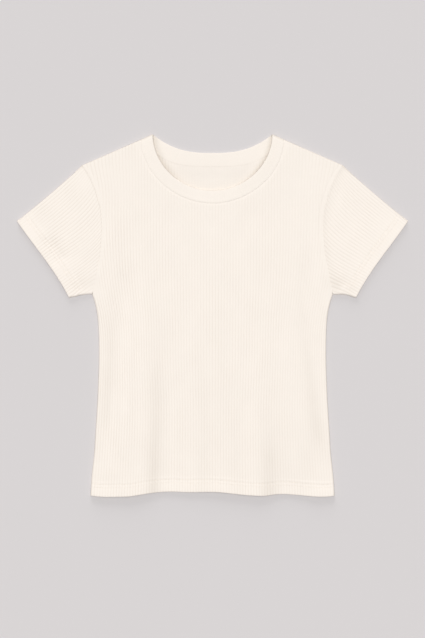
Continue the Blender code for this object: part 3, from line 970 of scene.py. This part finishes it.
def front_panel(sizes, material):
    """The front: the height of the flat cloth plus the ribs, on columns that are the
    ribs' sixths, over a plain inner face one wall lower."""
    every = 3
    near_top = turned_steps(ROLL, 7)[::-1]
    columns = turned_columns(sizes.body_ribs * 6, 5)
    rows = {"level": 76, "shared": 25, "every": every}
    x, y = body_plan(columns, FRONT_HEM_ROWS, near_top, front_top_line, **rows)
    wall = hemmed(y - hem_line(x))
    to_side, to_shoulder = body_edges(x, y)
    turn = quarter_turn(np.minimum(to_side, to_shoulder), ROLL)
    phase = rib_share(x, y) * sizes.body_ribs / 2
    clear = front_ribbing(x, y)
    outer = front_height(x, y) + sizes.rib_height / MM * rib(phase) * clear * turn
    plain = wall + air(x, y) + ease(x, y)
    inner = SEAM_HEIGHT + FACE_CLEARANCE + (plain - SEAM_HEIGHT) * turn
    outer, inner = rounded_edge(outer, inner, y - y[0], wall)
    cloth = Cloth()
    upper = cloth.add(lifted(x, y, outer), phase, y / COURSE, front_shade(x, y), clear)
    inside = lifted(*set_in(x, y, to_side, to_shoulder, wall, ROLL), inner)
    lower = cloth.add(inside[:, ::every], phase[:, ::every], y[:, ::every] / COURSE)
    close_sheet(cloth, upper, lower)
    return cloth.make("front_cloth", material)


def close_sheet(cloth, upper, lower):
    """Skins a wall's upper and lower faces, and joins them along their four edges."""
    cloth.skin(upper)
    cloth.skin(lower, -1)
    cloth.rim(upper[0], lower[0])
    cloth.rim(upper[:, -1], lower[:, -1])
    cloth.rim(upper[-1, ::-1], lower[-1, ::-1])
    cloth.rim(upper[::-1, 0], lower[::-1, 0])


def back_panel(sizes, material):
    """The back: level on the floor, with its sides and shoulders turned up a little, and
    ribs on its inside face and, as grooves, on its underside. The neck seam's allowance
    lies down its inside."""
    near_top = turned_steps(UNDER_ROLL, 4)[::-1]
    columns = turned_columns(sizes.body_ribs * 4, 4)
    rows = {"level": 50, "shared": 36, "hem_rise": BACK_HEM_RISE}
    x, y = body_plan(columns, BACK_HEM_ROWS, near_top, back_top_line, **rows)
    wall = hemmed(y - hem_line(x) - BACK_HEM_RISE)
    to_side, to_shoulder = body_edges(x, y)
    turn = quarter_turn(np.minimum(to_side, to_shoulder), UNDER_ROLL)
    phase = rib_share(x, y) * sizes.body_ribs / 2
    height = sizes.rib_height / MM
    plain = 1 - 0.7 * bell(x, 60)
    allowance = smooth((96 - np.abs(x)) / 20) * (1 - smooth((back_top_line(x) - y) / 20))
    inside = SEAM_HEIGHT - FACE_CLEARANCE + (wall - SEAM_HEIGHT) * turn
    inside = inside + INSIDE_RIBS * height * rib(phase) * plain * turn + 0.9 * allowance
    under = (SEAM_HEIGHT - FACE_CLEARANCE) * (1 - turn)
    under = under + UNDER_GROOVES * height * (1 - rib(phase)) * turn
    inside, under = rounded_edge(inside, under, y - y[0], wall)
    cloth = Cloth()
    # Painted shade inside the neck, where the painted shade in the ribs' grooves is stronger too
    painted_shade = 0.13 + neck_shade(x, y)
    clear = 0.5 * plain + 0.9 * neck_shade(x, y)
    inside = lifted(*set_in(x, y, to_side, to_shoulder, wall, UNDER_ROLL), inside)
    upper = cloth.add(inside, phase, y / COURSE, painted_shade, clear)
    lower = cloth.add(lifted(x, y, under), phase, y / COURSE)
    close_sheet(cloth, upper, lower)
    return cloth.make("back_cloth", material)


def sleeve_plan(c, rows, side):
    """A sleeve's plan: x, y, the underarm's wave, the distances from the cuff and from the
    armhole, and the rib's share.

    c is 0 at the top fold and 1 at the underarm, and s is 0 at the armhole and 1 at the
    cuff. A column runs from its place on the armhole to its place on the cuff, with a skewed
    arch near the armhole, and the cuff itself is a skewed arch towards the body. The last
    columns spread out to the underarm, which cuts across the ribs there. A row from 0 to 1
    lies in the cuff's hem, and one from 1 to 2 between it and the armhole.
    """
    starts = through(RIB_STARTS[side])
    held = SLEEVE_RIBBED_SHARE
    beyond = np.clip((c - held) / (1 - held), 0, 1)
    start_y = starts(np.minimum(c, held))
    start_y = start_y + (UNDERARM[1] - start_y) * beyond
    start = np.stack([armhole(start_y) + SEAM_CLEARANCE, start_y], -1)
    down = direction(CUFF_TOP, CUFF_FOOT)
    cuff = np.array(CUFF_TOP) + c[:, None] * np.subtract(CUFF_FOOT, CUFF_TOP)
    cuff = cuff + CUFF_BOW * skewed_arch(c)[:, None] * to_the_right(down)
    length = np.linalg.norm(cuff - start, axis=1)
    to_cuff = np.maximum(rows - 1, 0)[:, None] * (length - HEM_ZONE)
    to_cuff = to_cuff + np.minimum(rows, 1)[:, None] * HEM_ZONE
    s = 1 - to_cuff / length
    bow = SLEEVE_TOP_SAG * (1 - c) * 4 * s * (1 - s)
    bow = bow + through(RIB_BOW)(c) * skewed_arch(1 - s)
    plan = start + s[..., None] * (cuff - start) + bow[..., None] * down
    wave = through(UNDERARM_WAVE[side])(s) * smooth((c - 0.88) / 0.12)
    spread = (starts(held) - UNDERARM[1]) / (starts(held) - starts(1.0))
    share = np.minimum(c, held) + (1 - held) * beyond * (1 + (spread - 1) * (1 - s))
    return plan[..., 0], plan[..., 1], wave, to_cuff, s * length, share


def sleeve_folds(x, y, c):
    """How far each point of a sleeve is from its top fold and from its underarm."""
    to_top = line_away(x, y, SHOULDER_POINT, CUFF_TOP) - 1.2 * bell(c, 0.2)
    return to_top, line_away(x, y, UNDERARM, CUFF_FOOT)


def sleeve_cloth(x, y, to_cuff, c, side):
    """The height of a sleeve's flat cloth over a single wall, and its hem's relief."""
    flare = CUFF_FLARE * smooth(1 - to_cuff / 40)
    return air(side * x, y, flare) + ease(side * x, y), hem_sewing(to_cuff, CUFF_LENGTH * c)


def sleeve_shade(x, y, to_top, to_cuff, from_seam, side):
    """How deep the painted shade on a sleeve's upper half is: as it is laid, darker where it
    turns down along its top fold and beside the armhole's seam, and painted lighter along
    the picture's left cuff."""
    shade = laid_shade(side * x, y) - 0.06 + 0.5 * (1 - smooth(to_top / 3))
    shade = shade + CUFF_PAINTED_SHADE[side] * smooth((26 - to_cuff) / 4)
    seam = armhole_fade(y + SLEEVE_SEAM_FADE[side])
    return shade + seam * ridges(SLEEVE_SEAM_SHADE[side], from_seam)


def sleeve_half(sizes, c, rows, side, upper):
    """A sleeve's upper or lower half: the points of its outer and inner faces, and the
    outer one's places in the knit, painted shade and ribbing. Its folds are quarter ellipses."""
    x, y, wave, to_cuff, from_seam, share = sleeve_plan(c, rows, side)
    roll = ROLL if upper else UNDER_ROLL
    to_top, to_under = sleeve_folds(x, y, c)
    away = np.where((c == 0) | (c == 1), 0, np.maximum(np.minimum(to_top, to_under), 0))
    turn = quarter_turn(away, roll)
    wall = hemmed(to_cuff)
    phase = share * sizes.sleeve_ribs
    height = sizes.rib_height / MM
    if upper:
        plain, relief = sleeve_cloth(x, y, to_cuff, c, side)
        relief = relief + armhole_fade(y) * sleeve_seam_relief(from_seam, side)
        clear = rib_strength(side * x, y) * SLEEVE_RIB_TONE[side]
        ribs = SLEEVE_RIB_HEIGHT[side] * height * rib(phase) * clear
        outer = SEAM_HEIGHT + (2 * wall + plain + relief + ribs - SEAM_HEIGHT) * turn
        inner = SEAM_HEIGHT + (wall + plain - SEAM_HEIGHT) * turn
        painted_shade = sleeve_shade(x, y, to_top, to_cuff, from_seam, side)
    else:
        outer = SEAM_HEIGHT * (1 - turn) + UNDER_GROOVES * height * (1 - rib(phase)) * turn
        inner = SEAM_HEIGHT + (wall - SEAM_HEIGHT) * turn
        painted_shade, clear = 0.1 + 0 * x, 1 + 0 * x
    outer, inner = rounded_edge(outer, inner, to_cuff, wall)
    inward = inset(wall, away, roll)[..., None]
    inward = inward * np.where((to_top < to_under)[..., None], into_sleeve_top, into_underarm)
    inside = lifted(x + inward[..., 0], y + wave + inward[..., 1], inner)
    return lifted(x, y + wave, outer), inside, phase, to_cuff / COURSE, painted_shade, clear


def sleeve(sizes, material, name, side):
    """A sleeve: a ring of cloth round the arm, pressed flat. Its upper half carries the
    ribs, and its cuff is turned up."""
    every = 3
    above = (turned_columns(sizes.sleeve_ribs * 12, 12) + 1) / 2
    below = np.arange(sizes.sleeve_ribs * 4 - 1, 0, -1) / (sizes.sleeve_ribs * 4)
    below = below[: len(below) - (len(above) + len(below)) % every]
    near_seam, near_cuff = 2 - np.array(SLEEVE_SEAM_ROWS), np.array(CUFF_ROWS) / HEM_ZONE
    between = np.linspace(near_seam[-1], 1, 30)[1:-1]
    rows = np.concatenate([near_seam, between, near_cuff])
    halves = [
        sleeve_half(sizes, above, rows, side, upper=True),
        sleeve_half(sizes, below, rows, side, upper=False),
    ]
    outer, inner, knit, along, painted_shade, clear = [np.concatenate(pair, 1) for pair in zip(*halves)]
    cloth = Cloth()
    outside = cloth.add(outer, knit, along, painted_shade, clear)
    outside = np.pad(outside, ((0, 0), (0, 1)), "wrap")
    inside = cloth.add(inner[:, ::every], knit[:, ::every], along[:, ::every])
    inside = np.pad(inside, ((0, 0), (0, 1)), "wrap")
    cloth.skin(outside)
    cloth.skin(inside, -1)
    cloth.rim(outside[0], inside[0])
    cloth.rim(outside[-1, ::-1], inside[-1, ::-1])
    return cloth.make(name, material, side)


def band_half(along, curve, lines, pitch):
    """The neckband's front or back half, from its seam's line to its free edge's: its
    points, its places in the knit and its painted shade.

    The wall has a rounded free edge, a shallow furrow at the seam, a low crown between
    them, w times 1 less w, and faint ribs across it, a sine of its length. It turns round
    the shoulder folds by a quarter of an ellipse.
    """
    upper = curve is front_neck
    seam, edge = curve(lines[0], along), curve(lines[1], along)
    w = np.array(BAND_OUTER + BAND_INNER)[:, None]
    outside = np.arange(len(w))[:, None] < len(BAND_OUTER)
    x, y = np.moveaxis(seam + w[..., None] * (edge - seam), -1, 0)
    climb = band_climb(x)
    away = line_away(np.abs(x), y, NECK_POINT, front_neck(FRONT_NECK_SEAM, 1.0))
    away = np.where(np.abs(along) == 1, 0, away)
    roll = BAND_ROLL if upper else BAND_UNDER_ROLL
    run = np.linalg.norm(np.diff((seam + edge) / 2, axis=0), axis=1)
    length = np.concatenate([[0], np.cumsum(run)])
    past_edge = np.clip((w - 0.975) / 0.025, 0, 1)
    thick = BAND_CLOTH * np.sqrt(np.clip(1 - past_edge**2, 0.1, 1))
    faint = 0.05 * np.sin(2 * np.pi * length / pitch) * smooth(w / 0.15) * smooth((1 - w) / 0.1)
    relief = 0.4 * w * (1 - w) + faint
    if upper:
        relief = relief + 0.1 * bell(w - 0.16, 0.1) - 0.2 * bell(w, 0.04)
        edge_top = BAND_HEIGHT + (BAND_HEIGHT_AT_FOLD - BAND_HEIGHT) * climb
        top = band_seam_top(x) + (edge_top - band_seam_top(x)) * smooth(w * 0.8 + 0.1)
        face = top - (BAND_CLOTH - thick) / 2 + relief
        inner = top - (BAND_CLOTH + thick) / 2
    else:
        face = (BAND_CLOTH - thick) / 2 + 0 * x
        inner = (BAND_CLOTH + thick) / 2 + relief
    z = np.where(outside, face, inner)
    z = BAND_FOLD_HEIGHT + (z - BAND_FOLD_HEIGHT) * quarter_turn(away, roll)
    inward = np.where(outside, 0, inset(BAND_CLOTH, away, roll))
    x, y = x + np.sign(x) * into_shoulder[0] * inward, y + into_shoulder[1] * inward
    # Painted shade: darker round the shoulder folds, along the front half's free edge and along
    # the seam, and at the back inside the neck
    if upper:
        shade = 0.03 + 0.02 * climb + 0.8 * (1 - smooth(away / 4.5))
        shade = shade + 0.3 * smooth((w - 0.97) / 0.02) * (1 - 0.5 * climb)
    else:
        shade = 0.12 + neck_shade(x, y)
    shade = shade + 0.2 * bell(w, 0.04) * (1 - 0.5 * climb)
    return lifted(x, y, z), length / BAND_COURSE + 0 * x, w * 20 + 0 * x, shade


def neckband(sizes, material):
    """The neckband: its section, a flat wall with a rounded free edge, is carried round
    the neck, up over the front, round each shoulder fold and back under it."""
    pitch = sizes.band_rib_pitch / MM
    front = turned_line(reach=0.96, count=560, end=0.036, turned=8)
    back = turned_line(reach=0.965, count=280, end=0.03, turned=6)[-2:0:-1]
    halves = (
        band_half(front, front_neck, (FRONT_NECK_SEAM, FRONT_NECK_EDGE), pitch),
        band_half(back, back_neck, (BACK_NECK_SEAM, BACK_NECK_EDGE), pitch),
    )
    points, along, across, shade = [np.concatenate(pair, 1) for pair in zip(*halves)]
    cloth = Cloth()
    numbers = cloth.add(points, along, across, shade, 0.0)
    cloth.skin(np.pad(numbers, ((0, 1), (0, 1)), "wrap"))
    return cloth.make("neckband_cloth", material)


def stitches(name, paths, length, thread, material):
    """Stitches along paths: each is a thin tube of six sides that arches by half its
    thickness over a sine and narrows to its ends where it dives into the cloth."""
    starts, ends = [], []
    for path in paths:
        run = np.concatenate([[0], np.cumsum(np.linalg.norm(np.diff(path, axis=0), axis=1))])
        at = np.linspace(0, run[-1], int(run[-1] / length) + 1)
        knots = np.stack([np.interp(at, run, axis) for axis in path.T], -1)
        gap = 0.12 * (knots[1:] - knots[:-1])
        starts.append(knots[:-1] + gap)
        ends.append(knots[1:] - gap)
    start, end = np.concatenate(starts)[:, None], np.concatenate(ends)[:, None]
    t = np.linspace(0, 1, 6)[None, :, None]
    spine = start + t * (end - start)
    spine = spine + np.sin(np.pi * t) * thread * 0.5 * np.array([0, 0, 1.0])
    along = (end - start) / np.linalg.norm(end - start, axis=-1, keepdims=True)
    sideways = np.cross(along, [0.0, 0.0, 1.0])
    upward = np.cross(sideways, along)
    angle = np.linspace(0, 2 * np.pi, 7)[:-1]
    radius = thread / 2 * np.sqrt(np.clip(1 - (2 * t - 1) ** 6, 0.05, 1))
    cosine, sine = np.cos(angle)[:, None], np.sin(angle)[:, None]
    ring = cosine * sideways[:, :, None] + sine * upward[:, :, None]
    points = spine[:, :, None] + radius[..., None] * ring
    count, rings, sides = points.shape[:3]
    numbers = np.arange(count * rings * sides).reshape(count, rings, sides)
    wrapped = np.concatenate([numbers, numbers[..., :1]], -1)
    quads = [wrapped[:, :-1, :-1], wrapped[:, :-1, 1:], wrapped[:, 1:, 1:], wrapped[:, 1:, :-1]]
    caps = np.concatenate([numbers[:, 0, ::-1], numbers[:, -1]])
    faces = np.stack(quads, -1).reshape(-1, 4)[:, ::-1].tolist() + caps[:, ::-1].tolist()
    mesh = bpy.data.meshes.new(name)
    mesh.from_pydata(points.reshape(-1, 3) * MM, [], faces)
    return placed(name, mesh, material)


def hem_rows(sizes):
    """The twin rows of stitches round the front's hem, on the cloth's own height."""
    x = np.linspace(-HEM_STITCH_REACH, HEM_STITCH_REACH, 700)
    paths = []
    for rise in STITCH_ROWS:
        y = hem_line(x) + rise
        paths.append(lifted(x, y, front_height(x, y) + 0.5 * sizes.rib_height / MM))
    return paths


def cuff_rows(sizes, side):
    """The twin rows of stitches round a cuff's upper half."""
    c = np.linspace(0.035, 0.965, 400)
    x, y, wave, to_cuff, *_ = sleeve_plan(c, np.array(STITCH_ROWS) / HEM_ZONE, side)
    plain, relief = sleeve_cloth(x, y, to_cuff, c, side)
    z = 2 * hemmed(to_cuff) + plain + relief + 0.5 * sizes.rib_height / MM
    to_top = line_away(x, y, SHOULDER_POINT, CUFF_TOP)
    away = np.minimum(to_top, line_away(x, y, UNDERARM, CUFF_FOOT))
    z = SEAM_HEIGHT + (z - SEAM_HEIGHT) * quarter_turn(away, ROLL)
    return [lifted(side * x[row], y[row] + wave[row], z[row]) for row in (0, 1)]


def neck_rows():
    """The row of stitches that shows inside the back, just under the neckband's seam."""
    turn = np.linspace(-0.76, 0.76, 300)
    seam = back_neck(BACK_NECK_SEAM, turn)
    return [lifted(seam[:, 0], seam[:, 1] - NECK_STITCH_DROP, NECK_STITCH_HEIGHT)]


# ---------------------------------------------------------------------------
# Finishes
# ---------------------------------------------------------------------------


class Nodes:
    """Adds and joins a material's nodes."""

    def __init__(self, name, **surface):
        self.material = bpy.data.materials.new(name)
        self.material.use_nodes = True
        self.tree = self.material.node_tree
        self.shader = self.filled(self.tree.nodes["Principled BSDF"], surface)
        where = self.add("ShaderNodeTexCoord")
        self.place = where.outputs["Object"]

    def filled(self, node, values):
        """The node with its settings, or its sockets' values, of those names."""
        for name, value in values.items():
            if hasattr(node, name):
                setattr(node, name, value)
            else:
                node.inputs[name.replace("_", " ")].default_value = value
        return node

    def add(self, kind, **values):
        """A new node of that kind, filled in."""
        return self.filled(self.tree.nodes.new(kind), values)

    def feed(self, value, socket):
        """Joins an output to the socket, or sets the socket to a number or a colour."""
        if isinstance(value, bpy.types.NodeSocket):
            self.tree.links.new(value, socket)
        else:
            socket.default_value = value

    def math(self, operation, *values):
        """What an operation gives from its values."""
        node = self.add("ShaderNodeMath", operation=operation)
        for socket, value in zip(node.inputs, values):
            self.feed(value, socket)
        return node.outputs[0]

    def noise(self, **values):
        """Noise over the piece's own coordinates."""
        node = self.add("ShaderNodeTexNoise", **values)
        self.feed(self.place, node.inputs["Vector"])
        return node.outputs["Fac"]

    def spread(self, value, **ends):
        """A value carried from one range to another."""
        node = self.add("ShaderNodeMapRange", **ends)
        self.feed(value, node.inputs["Value"])
        return node.outputs[0]

    def reading(self, name):
        """A number that the mesh holds at each point."""
        return self.add("ShaderNodeAttribute", attribute_name=name).outputs["Fac"]

    def mix(self, factor, first, second, **settings):
        """One colour mixed with another by a factor."""
        node = self.add("ShaderNodeMix", data_type="RGBA", **settings)
        for name, value in (("Factor", factor), ("A", first), ("B", second)):
            self.feed(value, node.inputs[name])
        return node.outputs["Result"]

    def bump(self, height, strength, distance):
        """Lets a height bend the light on the finish."""
        node = self.add("ShaderNodeBump", Strength=strength, Distance=distance)
        self.feed(height, node.inputs["Height"])
        self.feed(node.outputs["Normal"], self.shader.inputs["Normal"])


def toned(colour, share):
    """A colour with its light scaled by a share, opaque."""
    return (*(min(share * part, 1.0) for part in colour), 1.0)


def knit_finish(name, colour, groove):
    """Cream cotton knit: a loop in each course of each rib, as a bump, fine fuzz over it,
    a slightly uneven dye, painted shade in the rib grooves, and the painted shade and light
    that the mesh holds."""
    nodes = Nodes(name, Specular_IOR_Level=0.25, Sheen_Weight=0.08, Sheen_Roughness=0.6)
    knit = nodes.add("ShaderNodeSeparateXYZ")
    nodes.feed(nodes.add("ShaderNodeUVMap", uv_map="Knit").outputs[0], knit.inputs[0])
    rib_place, course_place = knit.outputs[:2]

    # Two slanting yarns to a rib, which rise and fall once a course
    across = nodes.math("FRACT", nodes.math("MULTIPLY", rib_place, 2.0))
    slant = nodes.math("ABSOLUTE", nodes.math("SUBTRACT", across, 0.5))
    course = nodes.math("ADD", course_place, slant)
    wave = nodes.math("SINE", nodes.math("MULTIPLY", course, 2 * np.pi))
    loops = nodes.math("MULTIPLY_ADD", wave, 0.5, 0.5)
    fuzz = nodes.noise(Scale=1400.0, Detail=3.0, Roughness=0.6)
    nodes.bump(nodes.math("ADD", nodes.math("MULTIPLY", loops, 0.7), fuzz), 0.35, 0.00012)

    dye = nodes.noise(Scale=38.0, Detail=4.0, Roughness=0.55)
    dyed = nodes.mix(dye, toned(colour, 0.985), toned(colour, 1.015))
    # A groove is darker: painted shade in the recess between ribs, and partly the thin loops
    # there, where light passes into the knit
    from_crest = nodes.math("SUBTRACT", nodes.math("FRACT", rib_place), 0.5)
    from_crest = nodes.math("ABSOLUTE", from_crest)
    deep = nodes.spread(from_crest, From_Min=0.27, From_Max=0.46, To_Max=groove)
    shown = nodes.math("MULTIPLY", deep, nodes.reading("Ribbing"))
    ribbed = nodes.mix(shown, dyed, toned([part**1.6 for part in colour], 0.86))
    # Painted shade from the mesh's Depth values, where less of the room's light reaches,
    # as into a fold, in a tone warmed as light is by the cloth
    shaded = nodes.mix(nodes.reading("Depth"), ribbed, PAINTED_SHADE_TONE, blend_type="MULTIPLY")
    nodes.feed(shaded, nodes.shader.inputs["Base Color"])
    roughness = nodes.spread(fuzz, To_Min=0.84, To_Max=0.98)
    nodes.feed(roughness, nodes.shader.inputs["Roughness"])
    return nodes.material


def thread_finish(colour):
    """Matt spun thread: fine noise in its colour and as a bump."""
    nodes = Nodes("thread", Specular_IOR_Level=0.3, Roughness=0.75)
    ply = nodes.noise(Scale=2500.0, Detail=2.0)
    spun = nodes.mix(ply, toned(colour, 0.94), toned(colour, 1.03))
    nodes.feed(spun, nodes.shader.inputs["Base Color"])
    nodes.bump(ply, 0.3, 0.00005)
    return nodes.material


def floor_finish(colour):
    """A matt painted surface with a trace of unevenness."""
    nodes = Nodes("floor", Specular_IOR_Level=0.1, Roughness=0.95)
    grain = nodes.noise(Scale=6.0, Detail=3.0)
    painted = nodes.mix(grain, toned(colour, 0.996), toned(colour, 1.004))
    nodes.feed(painted, nodes.shader.inputs["Base Color"])
    return nodes.material


# ---------------------------------------------------------------------------
# Operators
# ---------------------------------------------------------------------------


def settle(piece, node):
    """The piece rides on the shirt and stands for its solid, which is hidden."""
    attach(piece, "root")
    if node:
        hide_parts(node)


def rib_knit(scene):
    """The body's and the sleeves' knit, made once."""
    name = "rib_knit_cream"
    made = bpy.data.materials.get(name)
    return made or knit_finish(name, scene.shirt_colours.knit, RIB_GROOVE_SHADE)


class SHIRT_OT_front(bpy.types.Operator):
    """Make the ribbed front, with its folds, its seams' relief and its turned-up hem"""

    bl_idname = "shirt.front"
    bl_label = "Front"

    def execute(self, context):
        piece = front_panel(context.scene.shirt_sizes, rib_knit(context.scene))
        settle(piece, "front_panel")
        return {"FINISHED"}


class SHIRT_OT_back(bpy.types.Operator):
    """Make the ribbed back, flat on the floor"""

    bl_idname = "shirt.back"
    bl_label = "Back"

    def execute(self, context):
        piece = back_panel(context.scene.shirt_sizes, rib_knit(context.scene))
        settle(piece, "back_panel")
        return {"FINISHED"}


class SHIRT_OT_sleeves(bpy.types.Operator):
    """Make the two sleeves, each one piece of ribbed cloth all round the arm"""

    bl_idname = "shirt.sleeves"
    bl_label = "Sleeves"

    def execute(self, context):
        sizes, knit = context.scene.shirt_sizes, rib_knit(context.scene)
        for node, side in (("sleeve_left", 1), ("sleeve_right", -1)):
            piece = sleeve(sizes, knit, f"{node}_cloth", side)
            settle(piece, node)
        return {"FINISHED"}


class SHIRT_OT_neckband(bpy.types.Operator):
    """Make the doubled neckband, laid front over back"""

    bl_idname = "shirt.neckband"
    bl_label = "Neckband"

    def execute(self, context):
        fine = knit_finish("neck_rib_cream", context.scene.shirt_colours.band, 0.0)
        piece = neckband(context.scene.shirt_sizes, fine)
        settle(piece, "neckband")
        return {"FINISHED"}


class SHIRT_OT_stitching(bpy.types.Operator):
    """Sew the twin rows at the hem and the cuffs, and the row inside the back neck"""

    bl_idname = "shirt.stitching"
    bl_label = "Stitching"

    def execute(self, context):
        sizes = context.scene.shirt_sizes
        thread = thread_finish(context.scene.shirt_colours.thread)
        rows = {
            "stitches_hem": hem_rows(sizes),
            "stitches_cuff_left": cuff_rows(sizes, 1),
            "stitches_cuff_right": cuff_rows(sizes, -1),
            "stitches_back_neck": neck_rows(),
        }
        length, thick = sizes.stitch_length / MM, sizes.thread / MM
        for name, paths in rows.items():
            settle(stitches(name, paths, length, thick, thread), None)
        return {"FINISHED"}


def lay_floor(stage):
    """A wide level sheet at the height that the shirt lies on."""
    corners = [(-1, -1, 0), (1, -1, 0), (1, 1, 0), (-1, 1, 0)]
    mesh = bpy.data.meshes.new("floor")
    mesh.from_pydata(FLOOR_REACH * np.array(corners), [], [(0, 1, 2, 3)])
    return placed("floor", mesh, floor_finish(stage.floor))


def light_stage(scene, stage):
    """A white room, and two broad lamps: one straight above and one low beyond the neck."""
    world = bpy.data.worlds.new("room")
    world.use_nodes = True
    room = world.node_tree.nodes["Background"]
    room.inputs["Color"].default_value = (1.0, 1.0, 1.0, 1.0)
    room.inputs["Strength"].default_value = stage.fill
    scene.world = world
    # (name, what it gives a level surface, height, turn to the left, angular size)
    lamps = (
        ("key", stage.key, np.radians(90.0), 0.0, np.radians(45.0)),
        ("side", stage.side, stage.side_rise, stage.side_turn, np.radians(30.0)),
    )
    for name, level, rise, turn, size in lamps:
        lamp = bpy.data.lights.new(name, "SUN")
        lamp.energy = np.pi * level / np.sin(rise)
        lamp.angle = size
        flat = np.array([-np.sin(turn), np.cos(turn)]) * np.cos(rise)
        towards = Vector((*flat, np.sin(rise)))
        source = bpy.data.objects.new(name, lamp)
        source.location = LAMP_AWAY * towards
        source.rotation_euler = towards.to_track_quat("Z", "Y").to_euler()
        scene.collection.objects.link(source)


def aim_camera(scene, stage):
    """A camera straight above, as far away as its lens needs to take in the view height."""
    lens = bpy.data.cameras.new("camera")
    lens.lens = stage.lens
    lens.sensor_width = 36.0
    lens.clip_end = 50.0
    away = stage.view_height * stage.lens / lens.sensor_width
    camera = bpy.data.objects.new("camera", lens)
    camera.location = Vector(PICTURE_MIDDLE) + Vector((0.0, 0.0, away))
    scene.collection.objects.link(camera)
    scene.camera = camera


class SHIRT_OT_stage(bpy.types.Operator):
    """Lay the pale floor, and set the soft light and the camera straight above"""

    bl_idname = "shirt.stage"
    bl_label = "Stage"

    def execute(self, context):
        scene = context.scene
        floor = lay_floor(scene.shirt_stage)
        light_stage(scene, scene.shirt_stage)
        aim_camera(scene, scene.shirt_stage)
        scene.view_settings.view_transform = "Standard"
        scene.view_settings.look = "None"
        return {"FINISHED"}


class SHIRT_PT_panel(bpy.types.Panel):
    """The shirt's sizes, colours and pieces"""

    bl_idname = "SHIRT_PT_panel"
    bl_label = "T-shirt"
    bl_space_type = "VIEW_3D"
    bl_region_type = "UI"
    bl_category = "T-shirt"

    def draw(self, context):
        for name in ("shirt_sizes", "shirt_colours", "shirt_stage"):
            settings = getattr(context.scene, name)
            box = self.layout.box()
            for key in settings.bl_rna.properties.keys():
                if key not in ("rna_type", "name"):
                    box.prop(settings, key)
        for step in STEPS:
            self.layout.operator(step.bl_idname)


STEPS = (
    SHIRT_OT_back,
    SHIRT_OT_front,
    SHIRT_OT_sleeves,
    SHIRT_OT_neckband,
    SHIRT_OT_stitching,
    SHIRT_OT_stage,
)
CLASSES = (ClothSizes, ClothColours, StageSettings, *STEPS, SHIRT_PT_panel)


def register():
    for each in CLASSES:
        bpy.utils.register_class(each)
    bpy.types.Scene.shirt_sizes = PointerProperty(type=ClothSizes)
    bpy.types.Scene.shirt_colours = PointerProperty(type=ClothColours)
    bpy.types.Scene.shirt_stage = PointerProperty(type=StageSettings)


def unregister():
    for name in ("shirt_sizes", "shirt_colours", "shirt_stage"):
        delattr(bpy.types.Scene, name)
    for each in reversed(CLASSES):
        bpy.utils.unregister_class(each)


def main():
    register()
    for step in STEPS:
        group, name = step.bl_idname.split(".")
        getattr(getattr(bpy.ops, group), name)()


if __name__ == "__main__":
    main()
